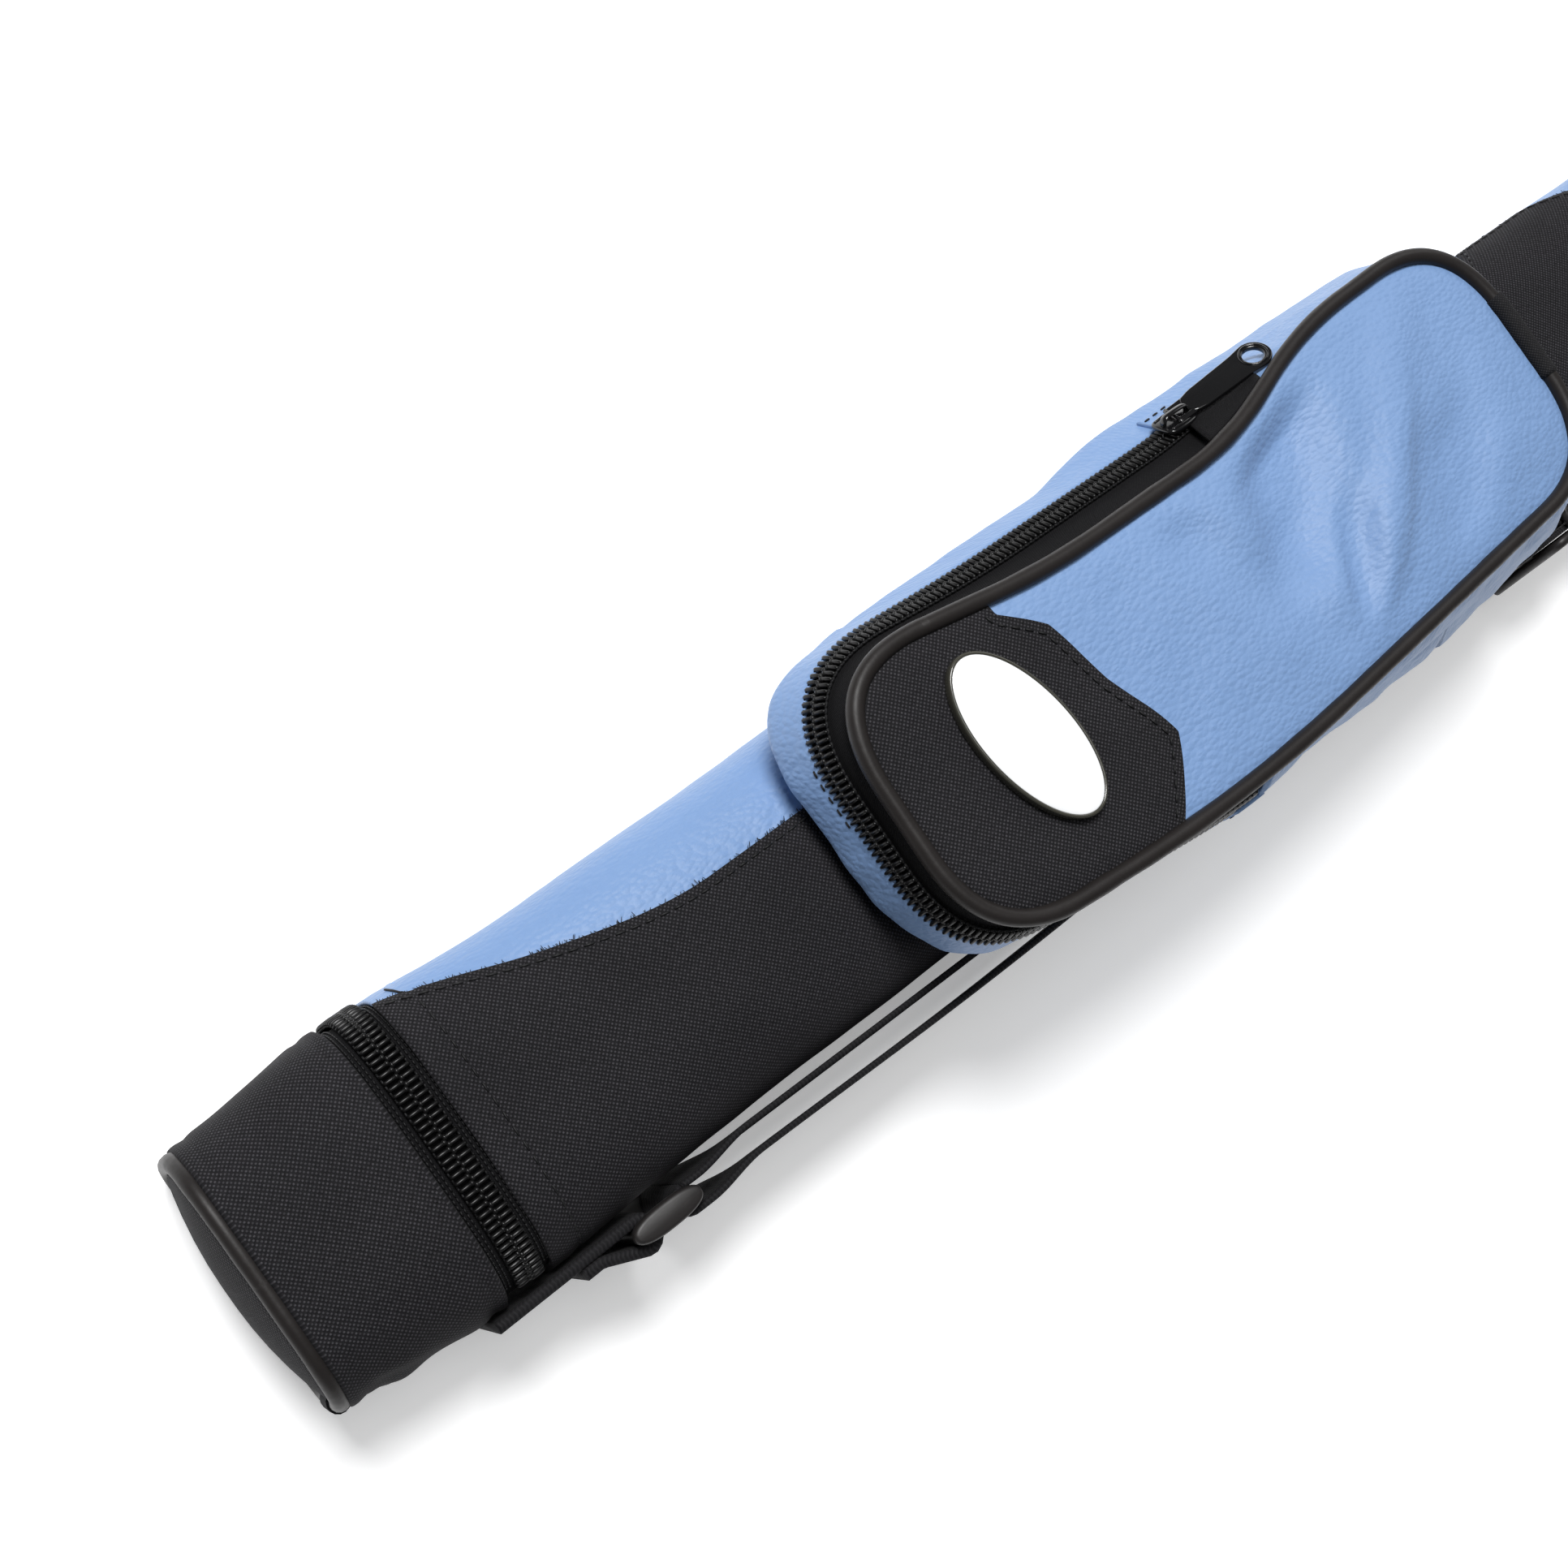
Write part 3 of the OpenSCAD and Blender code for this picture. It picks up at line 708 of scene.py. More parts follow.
def add_facing(name, data, place, *axes):
    """An object at place with the given axes."""
    made = bpy.data.objects.new(name, data)
    made.matrix_world = Matrix([[axis[k] for axis in axes] + [place[k]] for k in range(3)] + [[0, 0, 0, 1]])
    bpy.context.scene.collection.objects.link(made)
    return made
    bpy.context.scene.camera = camera


def area_light(name, place, target, size, power):
    data = bpy.data.lights.new(name, "AREA")
    data.shape = "DISK"
    data.size = size
    data.energy = power
    z = unit(np.array(place, float) - np.array(target, float))
    x = unit(np.cross([0, 0, 1.0], z))
    add_facing(name, data, place, x, np.cross(z, x), z)


def make_stage():
    """Pale floor, soft light from the +Y side and above."""
    m = Maker("floor", (0.93, 0.93, 0.935), 0.8)
    m.shader.inputs["Emission Color"].default_value = (1, 1, 1, 1)
    m.shader.inputs["Emission Strength"].default_value = 0.3
    tone = m.noise(m.coordinates(False), 6.0, 2.0)
    m.colour(tone, (0.92, 0.92, 0.925), (0.95, 0.95, 0.955))
    mesh = bpy.data.meshes.new("floor")
    half = 6.0
    corners = [(-half, -half, 0), (half, -half, 0), (half, half, 0), (-half, half, 0)]
    mesh.from_pydata(corners, [], [[0, 1, 2, 3]])
    mesh.materials.append(m.material)
    floor = bpy.data.objects.new("floor", mesh)
    floor.location.z = -0.0006
    bpy.context.scene.collection.objects.link(floor)
    world = bpy.data.worlds.new("studio")
    world.use_nodes = True
    back = world.node_tree.nodes["Background"]
    back.inputs["Color"].default_value = (0.97, 0.985, 1.0, 1)
    back.inputs["Strength"].default_value = 0.13
    bpy.context.scene.world = world
    area_light("key", (-0.28, 0.78, 1.45), (-0.2, 0, 0), 0.6, 27)
    area_light("top", (-0.3, 0.1, 1.6), (-0.2, 0, 0), 0.8, 6)
    area_light("back", (1.0, 0.5, 0.8), (-0.1, 0, 0.03), 0.8, 3)
    bpy.context.scene.view_settings.view_transform = "Standard"


# ---- lid ----
LID_HEM = HEM_LID - 3.4
LID_END_SEAM = LID_WALL_END + 2.2


def make_lid():
    seams = (LID_HEM, LID_END_SEAM)
    wall = Piece("lid_cover", "black_woven", WEAVE)
    tube_shell(wall, LID_WALL_END - 0.4, HEM_LID - 1.3, 0, WALL, step=0.9, seams=seams, puckers=1.1)
    wall.make("lid", ["lid_wall"])

    foam = Piece("lid_padding", "foam", FOAM)
    tube_shell(foam, LID_WALL_END + 1, LID_MOUTH_X, WALL, FOAM_IN - WALL - 0.4, columns=96, relief=0, step=6)
    foam.make("lid", ["lid_foam"], padded=0.8)

    end_plates("lid", -1)
    end_piping("lid_end_piping", "lid", X_LID, -1, "lid_piping")
    sleeve = Piece("lid_end_piping_join", "piping_sleeve", SLEEVE)
    centre = end_ring(X_LID + PIPE_R)
    path = centre[(centre[:, 1] < 0) & (centre[:, 2] > 15) & (centre[:, 2] < 26)]
    sleeve.rod(spaced(path[np.argsort(path[:, 2])], 0.8), PIPE_R + 0.45, 14, (1, 0, 0))
    sleeve.make("lid", ["lid_piping_sleeve"])


def end_ring(x):
    """The centre line of the piping round an end."""
    s = np.arange(220) * GIRTH / 220
    return on_tube(np.full_like(s, x), s, PIPE_R + 0.05)


def end_piping(name, body, x_out, way, node):
    centre = end_ring(x_out - way * PIPE_R)
    along = np.arange(len(centre)) * GIRTH / len(centre)
    radius = PIPE_R * (1 + 0.02 * ripple(along, 0 * along, 14, 9))
    piece = Piece(name, "piping", PIPING, THREAD)
    piece.rod(centre, radius, 14, (1, 0, 0), True)
    piece.make(body, [node])


def end_plates(body, way):
    """Cloth end panel over its board and pad, set inside the piping."""
    s = np.arange(160) * GIRTH / 160

    def disc(x, scale, dome=0.0):
        ring = on_tube(np.full_like(s, x), s, PIPE_R * 2 - 0.2)
        return mix(ring.mean(axis=0), ring, scale) + [way * dome, 0, 0]

    def plate(name, slot, material, node, inset, dome, **made_with):
        x_in, x_face = (high(node)[0], low(node)[0]) if way < 0 else (low(node)[0], high(node)[0])
        rows = [disc(x_in, f) for f in (0.0, 0.4, 0.8, inset)]
        rows += [disc(x_face - way * 0.35, inset), disc(x_face, inset - 0.012)]
        rows += [disc(x_face, f, dome * (1 - (f / inset) ** 2)) for f in (0.93, 0.85, 0.7, 0.5, 0.3, 0.12, 0.0)]
        piece = Piece(body + name, slot, material)
        piece.grid(np.array(rows), close_v=True, pattern=np.array(rows)[..., [1, 2, 0]])
        piece.make(body, [node], **made_with)

    start = "lid_end" if way < 0 else "bottom"
    plate("_end_cover", "black_woven", WEAVE, start + "_panel", 1.0, 3.4 if way < 0 else 1.2)
    plate("_end_board", "liner_board", BOARD, start + "_board", 1.0, 0.0)
    plate("_end_pad", "foam", FOAM, start + "_pad", 0.96, 0.0, padded=0.8)


# ---- lid zip ----
TOOTH = capsule(3.3, 1.02, 1.5, 8, 5)
TOOTH_HEAD = capsule(1.1, 1.35, 1.5, 8, 3)
RAIL_KNIT = capsule(1.5, 0.5, 0.7, 6, 3)
TAPE_KNIT = capsule(1.1, 0.45, 0.5, 6, 3)
HINGE_GAP = 0.6


def make_lid_zip():
    """Two halves of the coil zip round the mouth, open where the hinge webbing crosses it."""
    halves = (("lid", -1, LID_MOUTH_X, "lid_zip_tape", "lid_zip_coil"),
              ("case", 1, MOUTH_X, "mouth_zip_tape", "mouth_zip_coil"))

    def clear(points):
        y, z = points[:, 1], points[:, 2]
        return (y >= 0) | (z <= WEB_LOW - HINGE_GAP) | (z >= WEB_HIGH + HINGE_GAP)

    for body, way, sewn, tape_node, coil_node in halves:
        tape = Piece(body + "_zip_tape", "zip_tape", TAPE, THREAD)
        x = np.linspace(*sorted((ZIP_X + way * 0.35, sewn)), 12)[:, None]
        s = (np.arange(176) * GIRTH / 176)[None, :]
        shell(tape, on_tube(x, s, WALL + 0.05, RECESS), 0.7, tube_normal(s[0])[None])
        tape.make(body, [tape_node])

        coil = Piece(body + "_zip_coil", "zip_coil", COIL, THREAD)
        count = int(GIRTH / COIL_PITCH)
        s = (np.arange(count) + (0.5 if way > 0 else 0.0)) * GIRTH / count
        centre = on_tube(np.full_like(s, ZIP_X + way * 1.55), s, 0.45, RECESS)
        s, centre = s[clear(centre)], centre[clear(centre)]
        across = np.tile([float(way), 0, 0], (len(s), 1))
        turn = turns(across, tube_normal(s))
        coil.copies(TOOTH, centre, turn)
        coil.copies(TOOTH_HEAD, centre - across * 1.25, turn)
        line = np.arange(0, GIRTH, 1.2)
        rail = on_tube(np.full_like(line, ZIP_X + way * 2.9), line, 0.75, RECESS)
        kept = clear(rail)
        turn = frames_along(rail[kept], tube_normal(line[kept]))
        coil.copies(RAIL_KNIT, rail[kept], turn, 1)
        for out in (3.9, 4.7):
            knit = on_tube(np.full_like(line, ZIP_X + way * out), line, WALL - 0.15, RECESS)[kept]
            coil.copies(TAPE_KNIT, knit, turn, 1)
        coil.make(body, [coil_node])


# ---- case walls ----
PANEL_Y = 13
EDGE_SEAM_IN = 2.0
CASE_SEAM = ZIP_X + 11.5
CASE_END_SEAM = WALL_END - 2.2
LOOSE_THREAD = np.array([[-352.0, -351.4, -350.8, -349.8, -349.0], [30.2, 29.2, 28.2, 27.4, 26.4]])


def panel_edge(x):
    """Edge of the side panel over the tube's top: high at the mouth, one lobe past the pocket."""
    start = 17.5 * (1 - smooth((x - ZIP_X + 11) / 82))
    lobe = 19.5 * smooth((x + 57) / 44) * (1 - smooth((x + 12) / 87))
    return PANEL_Y + start + lobe


def boot_edge(x):
    return 21 * smooth((x - X_END + 117) / 60) + PANEL_Y + 0.2


def overlay(piece, x, s_start, s_end, columns, seams):
    """A second layer of cloth on the tube, between two round lengths that change with x."""
    s = mix(s_start[:, None], s_end[:, None], np.linspace(0, 1, columns)[None, :])
    x = np.broadcast_to(x[:, None], s.shape)
    outer = on_tube(x, s, -wall_relief(x, s, seams))
    turned_in = (WALL - OVERLAY) * (x < HEM_CASE + 0.6)
    inner = outer - section_normal(s) * (OVERLAY + turned_in[..., None])
    inner[..., 2] = np.maximum(inner[..., 2], 0.02)
    pattern = np.stack([x, s, 0 * s], axis=-1)
    piece.grid(np.concatenate([outer, inner[:, ::-1]], axis=1), close_v=True, caps=True,
               pattern=np.concatenate([pattern, pattern[:, ::-1]], axis=1))


def on_top(y):
    """Round length at y, kept on the tube's top."""
    return round_at_top(np.minimum(y, HALF_W - 0.6))


def fray(piece, seams):
    """Short fibre ends that stand out from the side panel's raw cut edge."""
    rng = np.random.default_rng(17)
    for length, count in ((0.6, 300), (0.9, 150), (1.4, 40)):
        x = rng.uniform(HEM_CASE + 1, WALL_END - 8, count * 2)
        s = on_top(panel_edge(x))
        root = on_tube(x, s, -wall_relief(x, s, seams))
        normal = tube_normal(s)
        out = unit(on_tube(x, s - 0.5) - on_tube(x, s + 0.5))
        spread = rng.uniform(-1.0, 1.0, (len(x), 1)) * [1.0, 0, 0]
        along = unit(out + spread + normal * rng.uniform(-0.15, 0.35, (len(x), 1)))
        piece.copies(capsule(length, 0.16, 0.16, 5, 2), root + along * length * 0.42 - normal * 0.12,
                     turns(along, normal), 1)


def make_case_walls():
    seams = (CASE_SEAM, CASE_END_SEAM)
    wall = Piece("case_cover", "blue_leatherette", BLUE, BLUE_THREAD)
    tube_shell(wall, HEM_CASE + 0.7, WALL_END + 0.4, OVERLAY, WALL - OVERLAY, step=2.5, seams=seams)
    seam_round(wall, CASE_SEAM, OVERLAY, seams, s0=round_at_top(30.0) - 45, s1=round_at_top(30.0) - 2)
    wall.make("case", ["outer_shell"])

    panel = Piece("side_cover", "black_woven", WEAVE, THREAD)
    x = np.unique(np.concatenate([np.linspace(HEM_CASE, -250, 90), np.linspace(-250, 110, 110),
                                  np.linspace(110, WALL_END + 0.4, 60)]))
    overlay(panel, x, on_top(panel_edge(x)), np.full_like(x, GIRTH / 2 + PANEL_Y), 110, seams)
    fine = np.linspace(HEM_CASE + 1, WALL_END - 6, 1500)
    inside = on_top(panel_edge(fine)) + EDGE_SEAM_IN
    stitches(panel, on_tube(fine, inside, -wall_relief(fine, inside, seams)), tube_normal(inside))
    seam_round(panel, CASE_SEAM, 0, seams, s0=round_at_top(27.0) + 2.5, s1=GIRTH / 2 + PANEL_Y - 2)
    fray(panel, seams)
    x, y = LOOSE_THREAD
    s = round_at_top(y)
    loose = on_tube(x, s, OVERLAY - wall_relief(x, s, seams) - 0.2)
    panel.rod(spaced(loose, 0.4), 0.24, 6, material=1)
    panel.make("case", ["side_panel"])

    boot = Piece("end_cover_patch", "black_woven", WEAVE, THREAD)
    x = np.linspace(low("end_boot")[0], WALL_END + 0.4, 90)
    s_high = round_at_top(PANEL_Y + 0.4)
    reach = smooth((x - x[0]) / 60)
    s_low = mix(on_top(boot_edge(x)), -(GIRTH / 2 - PANEL_Y - 0.4), smooth((reach - 0.55) / 0.45))
    overlay(boot, x, s_low, np.full_like(x, s_high), 90, seams)
    boot.make("case", ["end_boot"])

    foam = Piece("case_padding", "foam", FOAM)
    tube_shell(foam, MOUTH_X, WALL_END - 1, WALL, FOAM_IN - WALL - 0.4, columns=96, relief=0, step=20)
    foam.make("case", ["foam_padding"], padded=0.8)
    end_plates("case", 1)
    end_piping("case_end_piping", "case", X_END, 1, "bottom_piping")


# ---- pocket ----
POCKET_MIDDLE = np.array([-160.0, 2.0, 40.0])
WIDE = np.array([[-268, 40], [-268, -31], [-195, -41], [-56, -35],
                 [-56, 41.5], [-116, 41.5], [-150, 41.5], [-225, 41.5]], float)
FRONT = np.array([[-262, 33], [-262.5, -29], [-195, -36], [-63, -27],
                  [-65, 38], [-116, 36], [-150, 24.5], [-205, 24.5]], float)
INWARD = np.array([[1, -1], [1, 1], [0, 1], [-1, 1], [-1, -1], [0, -1], [0, -1], [0, -1]], float)
CUTS = (26, 22, 35, 24, 26, 14, 14, 14)
CORNER_TIGHTER = 0.35       # how much tighter the first corner gets for each mm further in
FOLD = np.array([-166.0, 0.0])
FOLD_A = math.radians(28.8)
FOLD_N = np.array([math.cos(FOLD_A), -math.sin(FOLD_A)])
MID_T, HALF_T, GAP_T = 0.5, 0.13, 0.02
HEM_T = MID_T - HALF_T - 0.02
POCKET_N = 520
GUSSET_T = 1.2


def rounded(corners, inset=0.0):
    """Outline through corners that are rounded by parabolas."""
    out = []
    steps = np.linspace(0, 1, 25)[:, None]
    for i, c in enumerate(corners):
        a, b = corners[i - 1], corners[(i + 1) % len(corners)]
        cut = CUTS[i] - (CORNER_TIGHTER * max(inset, 0) if i == 0 else 0)
        start = c + (a - c) * cut / np.linalg.norm(a - c)
        end = c + (b - c) * cut / np.linalg.norm(b - c)
        out.append(start * (1 - steps) ** 2 + c * 2 * steps * (1 - steps) + end * steps**2)
    return np.vstack(out)


def corner_loop(t, inset):
    return rounded(mix(WIDE, FRONT, t) + INWARD * inset, inset)


MIDDLE_LOOP = corner_loop(MID_T, 0)
LOOP_S = path_length(np.vstack([MIDDLE_LOOP, MIDDLE_LOOP[:1]]))
LOOP_LENGTH = LOOP_S[-1]


def pocket_xy(t, q, inset=0.0):
    """Plan place on the pocket's wall: t is 0 at its widest and 1 at its front, q the length round it."""
    loop = corner_loop(t, inset)
    loop = np.vstack([loop, loop[:1]])
    at = np.interp(np.mod(q, LOOP_LENGTH), LOOP_S, np.arange(len(LOOP_S)))
    return at_length(at, np.arange(len(loop)), loop)


def fold_crossings(t):
    """Where the wall's line crosses the fold: the -Y side and the +Y side, as lengths round the pocket."""
    q = np.linspace(0, LOOP_LENGTH, 2400)
    side = (pocket_xy(t, q) - FOLD) @ FOLD_N
    change = np.nonzero(np.diff(np.sign(side)))[0]
    found = [q[i] - side[i] * (q[i + 1] - q[i]) / (side[i + 1] - side[i]) for i in change]
    return found[0], found[-1]


def pocket_z(t):
    return mix(BULGE_Z, FRONT_Z, t)


BASE_IN = 13.0
WIDE_Z = 50.0


def fullness(t, q):
    """How far the slack side cloth stands out: full at the far -Y side, drawn in beside the zip."""
    at = pocket_xy(0.0, q)
    x, y = at[:, 0], at[:, 1]
    far = 3.6 * smooth((x + 190) / 80) * smooth(-(y + 5) / 20)
    drawn = 3.2 * smooth((y - 12) / 15) * smooth((-158 - x) / 30) * smooth((x + 268) / 22)
    corner = 2.4 * np.exp(-((x + 262) ** 2 + (y + 30) ** 2) / 22**2)
    chain = 1.5 * np.exp(-((x + 188) / 22) ** 2) * smooth(-(y + 20) / 12)
    below_zip = np.clip(1 - t / HEM_T, 0, 1)
    return far * (1 - t) + chain * math.sin(math.pi * min(t, 1)) - (drawn + corner) * below_zip


def wall_point(t, q):
    """The pocket's wall from its widest line up: leans in, a little full below the zip."""
    xy = pocket_xy(t, q)
    xy = xy + unit(xy - pocket_xy(t, q, 3.0)) * fullness(t, np.asarray(q))[:, None]
    z = mix(WIDE_Z, pocket_z(HEM_T), t / HEM_T) if t < HEM_T else pocket_z(t)
    return upright(xy, z)


def wall_outward(t, q):
    """Outward normal of the leaning wall."""
    up = unit(wall_point(min(t + 0.04, 1), q) - wall_point(max(t - 0.04, 0), q))
    ahead = unit(wall_point(t, q + 1) - wall_point(t, q - 1))
    n = unit(np.cross(up, ahead))
    sign = np.sign(np.sum(n[:, :2] * (wall_point(t, q) - POCKET_MIDDLE)[:, :2], axis=1))
    return n * sign[:, None], up, ahead


def off_wall(t, q, out):
    """Points at a distance out from the leaning wall."""
    return wall_point(t, q) + wall_outward(t, q)[0] * np.reshape(out, (-1, 1))


def gusset_relief(q, level):
    """Soft upright wrinkles of the side cloth, none at its seams. level runs from 0 to 1."""
    fade = np.sin(np.clip(level, 0, 1) * math.pi) ** 0.8
    tall = ripple(q, 0 * q + level * 12, 26, 21) * 0.9 + ripple(q, 0 * q + level * 9, 11, 22) * 0.35
    return tall * fade


def lower_gusset_rows(q):
    """Rows of the lower gusset from its base seam on the crowned tube to the hem beside the zip."""
    base = pocket_xy(0, q, BASE_IN)
    wide = wall_point(0, q)[:, :2]
    base_z = np.minimum(top_height(base[:, 1]), TUBE_H) - 0.4
    rows = [upright(mix(base, wide, math.sin(a)), base_z + (WIDE_Z - base_z) * (1 - math.cos(a)))
            for a in np.linspace(0, math.pi / 2, 13)]
    rows = np.array(rows + [wall_point(HEM_T * k / 8, q) for k in range(1, 9)])
    normal = -grid_normals(rows, True)
    calm = 0.8 - 0.45 * smooth((wide[:, 1] - 12) / 15)
    for i, u in enumerate(np.linspace(0, 1, len(rows))):
        rows[i] += normal[i] * (gusset_relief(q, u) * calm + 0.5 * np.sin(u * math.pi))[:, None]
    return rows, normal


def make_pocket_walls():
    q = np.arange(POCKET_N) * LOOP_LENGTH / POCKET_N + nearest_q((-120, -38))
    rows, normal = lower_gusset_rows(q)
    gusset = Piece("pocket_side_cloth", "blue_leatherette", BLUE, THREAD)
    shell(gusset, rows, GUSSET_T, normal)
    hem_q = np.linspace(nearest_q((-267, 15)), nearest_q((-269, 2)), 30)
    stitches(gusset, wall_point(HEM_T * 0.9, hem_q), wall_outward(HEM_T * 0.9, hem_q)[0], 1.7, 2.6)
    gusset.make("case", ["pocket_lower_gusset"])

    back = Piece("pocket_back_cloth", "black_woven", WEAVE)
    ring = pocket_xy(0, q, BASE_IN + 0.5)
    rows = [mix(POCKET_MIDDLE[:2], ring, f) for f in (1.0, 0.97, 0.8, 0.6, 0.4, 0.2, 0.0)]
    rows = np.array([upright(xy, top_height(xy[:, 1]) + 0.4) for xy in rows])
    back.grid(np.concatenate([rows[::-1], rows - [0, 0, 0.7]]), close_v=True)
    back.make("case", ["pocket_back"])

    rear = Piece("pocket_rear_side_cloth", "blue_leatherette", BLUE, BLUE_THREAD)
    levels = np.linspace(HEM_T - 0.03, 0.97, 14)
    rows = []
    for t in levels:
        q = mix(*fold_crossings(t), np.linspace(0, 1, 300))
        u = (t - levels[0]) / (levels[-1] - levels[0])
        full = 0.35 * np.sin(u * math.pi) + 0.7 * gusset_relief(q, u) + 0.15
        rows.append(off_wall(t, q, full))
    open_shell(rear, rows, GUSSET_T)
    rear.make("case", ["pocket_rear_gusset"])


def outward(rows):
    """Normals of an open pocket wall grid, pointing away from the pocket."""
    n = grid_normals(rows)
    return n * np.where(np.sum((rows - POCKET_MIDDLE) * n, axis=2, keepdims=True) < 0, -1, 1)


def open_shell(piece, rows, thick):
    """A cloth shell of part of the pocket's wall."""
    shell(piece, np.array(rows), thick, outward(np.array(rows)), close_v=False)


def flap_band(t0, t1, inset, count, rows=4):
    """Rows of a band of the wall on the flap's side of the fold."""
    out = []
    for t in np.linspace(t0, t1, rows):
        a, b = fold_crossings(t)
        q = mix(b - LOOP_LENGTH, a, np.linspace(0, 1, count))
        out.append(off_wall(t, q, -inset))
    return out


def bend_with_flap(piece):
    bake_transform(piece)
    return piece


def make_pocket_zip():
    tape_low = Piece("pocket_zip_tape_case", "zip_tape", TAPE, THREAD)
    open_shell(tape_low, flap_band(HEM_T - 0.05, MID_T - GAP_T, GUSSET_T * 0.8, 340), 0.7)
    tape_low.make("case", ["pocket_lower_tape"])
    tape_high = Piece("pocket_zip_tape_flap", "zip_tape", TAPE, THREAD)
    open_shell(tape_high, flap_band(MID_T + GAP_T, 0.985, GUSSET_T * 0.8, 340, 8), 0.7)
    bend_with_flap(tape_high.make(None, ["pocket_upper_tape"]))

    for name, node, way in (("case", "pocket_lower_coil", -1), ("flap", "pocket_upper_coil", 1)):
        coil = Piece("pocket_zip_coil_" + name, "zip_coil", COIL, THREAD)
        a, b = fold_crossings(MID_T)
        length = a - (b - LOOP_LENGTH) - 3
        count = int(length / COIL_PITCH)
        q = b - LOOP_LENGTH + 1.5 + (np.arange(count) + (0.5 if way > 0 else 0)) * length / count
        normal, up, ahead = wall_outward(MID_T, q)
        side = unit(np.cross(normal, ahead))
        side = side * np.sign(np.sum(side * up, axis=1))[:, None] * way
        chain = wall_point(MID_T, q)
        centre = chain + side * 1.55 - normal * 0.15
        turn = np.stack([side, np.cross(normal, side), normal], axis=2)
        coil.copies(TOOTH, centre, turn)
        coil.copies(TOOTH_HEAD, centre - side * 1.25, turn)
        rail = chain + side * 3.0 - normal * 0.3
        coil.copies(RAIL_KNIT, rail, frames_along(rail, normal), 1)
        made = coil.make(None if way > 0 else "case", [node])
        if way > 0:
            bend_with_flap(made)


FRONT_Q = np.arange(POCKET_N) * LOOP_LENGTH / POCKET_N
FRONT_XY = pocket_xy(1, FRONT_Q)
SPINE = np.array([[-232.0, 0.0], [-96.0, 4.0]])


def edge_distance(xy):
    """Distance in plan from each point to the pocket's front outline."""
    flat = np.asarray(xy, float).reshape(-1, 2)
    best = np.full(len(flat), 1e9)
    a, b = FRONT_XY, np.roll(FRONT_XY, -1, axis=0)
    ab = b - a
    for chunk in np.array_split(np.arange(len(flat)), max(1, len(flat) // 4000)):
        ap = flat[chunk][:, None] - a[None]
        t = np.clip(np.sum(ap * ab[None], axis=2) / np.sum(ab * ab, axis=1)[None], 0, 1)
        best[chunk] = np.linalg.norm(ap - ab[None] * t[..., None], axis=2).min(axis=1)
    return best.reshape(np.asarray(xy).shape[:-1])


# Dents and swells of the slack front cloth: middle, half-lengths along and across, turn, depth
FRONT_DENTS = (
    (-141, 12, 22, 11.5, 55, 5.4),
    (-151, -3, 10, 8, 30, 1.6),
    (-138, -11, 14, 4.5, 58, 2.5),
    (-101, -8, 16, 8.5, 42, 2.0),
    (-166, 0, 24, 7, -64, 1.6),
    (-126, -8, 25, 5, 42, -1.6),
    (-112, 7, 22, 6, 48, -1.2),
    (-86, 14, 14, 7, 65, 0.9),
)


def front_height(xy):
    """Height of the pocket's front cloth: a groove beside the piping, a low crown and soft folds."""
    d = edge_distance(xy)
    x, y = xy[..., 0], xy[..., 1]
    h = PANEL_Z - 1.9 + 1.6 * (1 - np.exp(-d / 2.2)) + 1.6 * smooth(d / 22) * smooth((x + 205) / 40)
    inside = smooth((d - 2) / 9)
    far = smooth((x + 172) / 60)
    slack = 0.35 * ripple(x, y, 38, 31) * far
    for cx, cy, along, across, turn, deep in FRONT_DENTS:
        c, k = math.cos(math.radians(turn)), math.sin(math.radians(turn))
        u = ((x - cx) * c + (y - cy) * k) / along
        v = ((y - cy) * c - (x - cx) * k) / across
        slack = slack - deep * np.exp(-((u * u + v * v) ** 1.5))
    return h + inside * (slack + 0.12 * ripple(x, y, 20, 33))


def make_pocket_front():
    t = np.clip((FRONT_XY - SPINE[0]) @ (SPINE[1] - SPINE[0]) / np.sum((SPINE[1] - SPINE[0]) ** 2), 0, 1)
    core = SPINE[0] + t[:, None] * (SPINE[1] - SPINE[0])
    rows = [mix(core, FRONT_XY, 1 - f) for f in (*np.linspace(0, 0.12, 9)[:-1], *np.linspace(0.12, 1, 34))]
    rows = np.array([upright(xy, front_height(xy)) for xy in rows])
    rows[0, :, 2] -= 0.3
    panel = Piece("pocket_front_cloth", "blue_leatherette", BLUE, BLUE_THREAD)
    grid = np.concatenate([rows[::-1], rows - [0, 0, 1.0]])
    panel.grid(grid, close_v=True, pattern=grid * [1, 1, 0])
    bend_with_flap(panel.make(None, ["pocket_flap_panel", "pocket_rear_panel"]))

    pipe = Piece("pocket_piping", "piping", PIPING)
    centre = upright(FRONT_XY, FRONT_Z + 0.25 * ripple(FRONT_Q, 0 * FRONT_Q, 60, 42))
    pipe.rod(centre, PIPE_R * (1.0 + 0.03 * ripple(FRONT_Q, 0 * FRONT_Q, 18, 41)), 16, closed=True)
    bend_with_flap(pipe.make(None, ["pocket_flap_piping", "pocket_rear_piping"]))
    make_yoke()


# The yoke's far edge across the pocket, from +Y to -Y
YOKE_EDGE = np.array([[-221, 60], [-221, 23], [-212, 15.5], [-208.5, 0],
                      [-200.5, -17], [-211.5, -32], [-212, -60]], float)


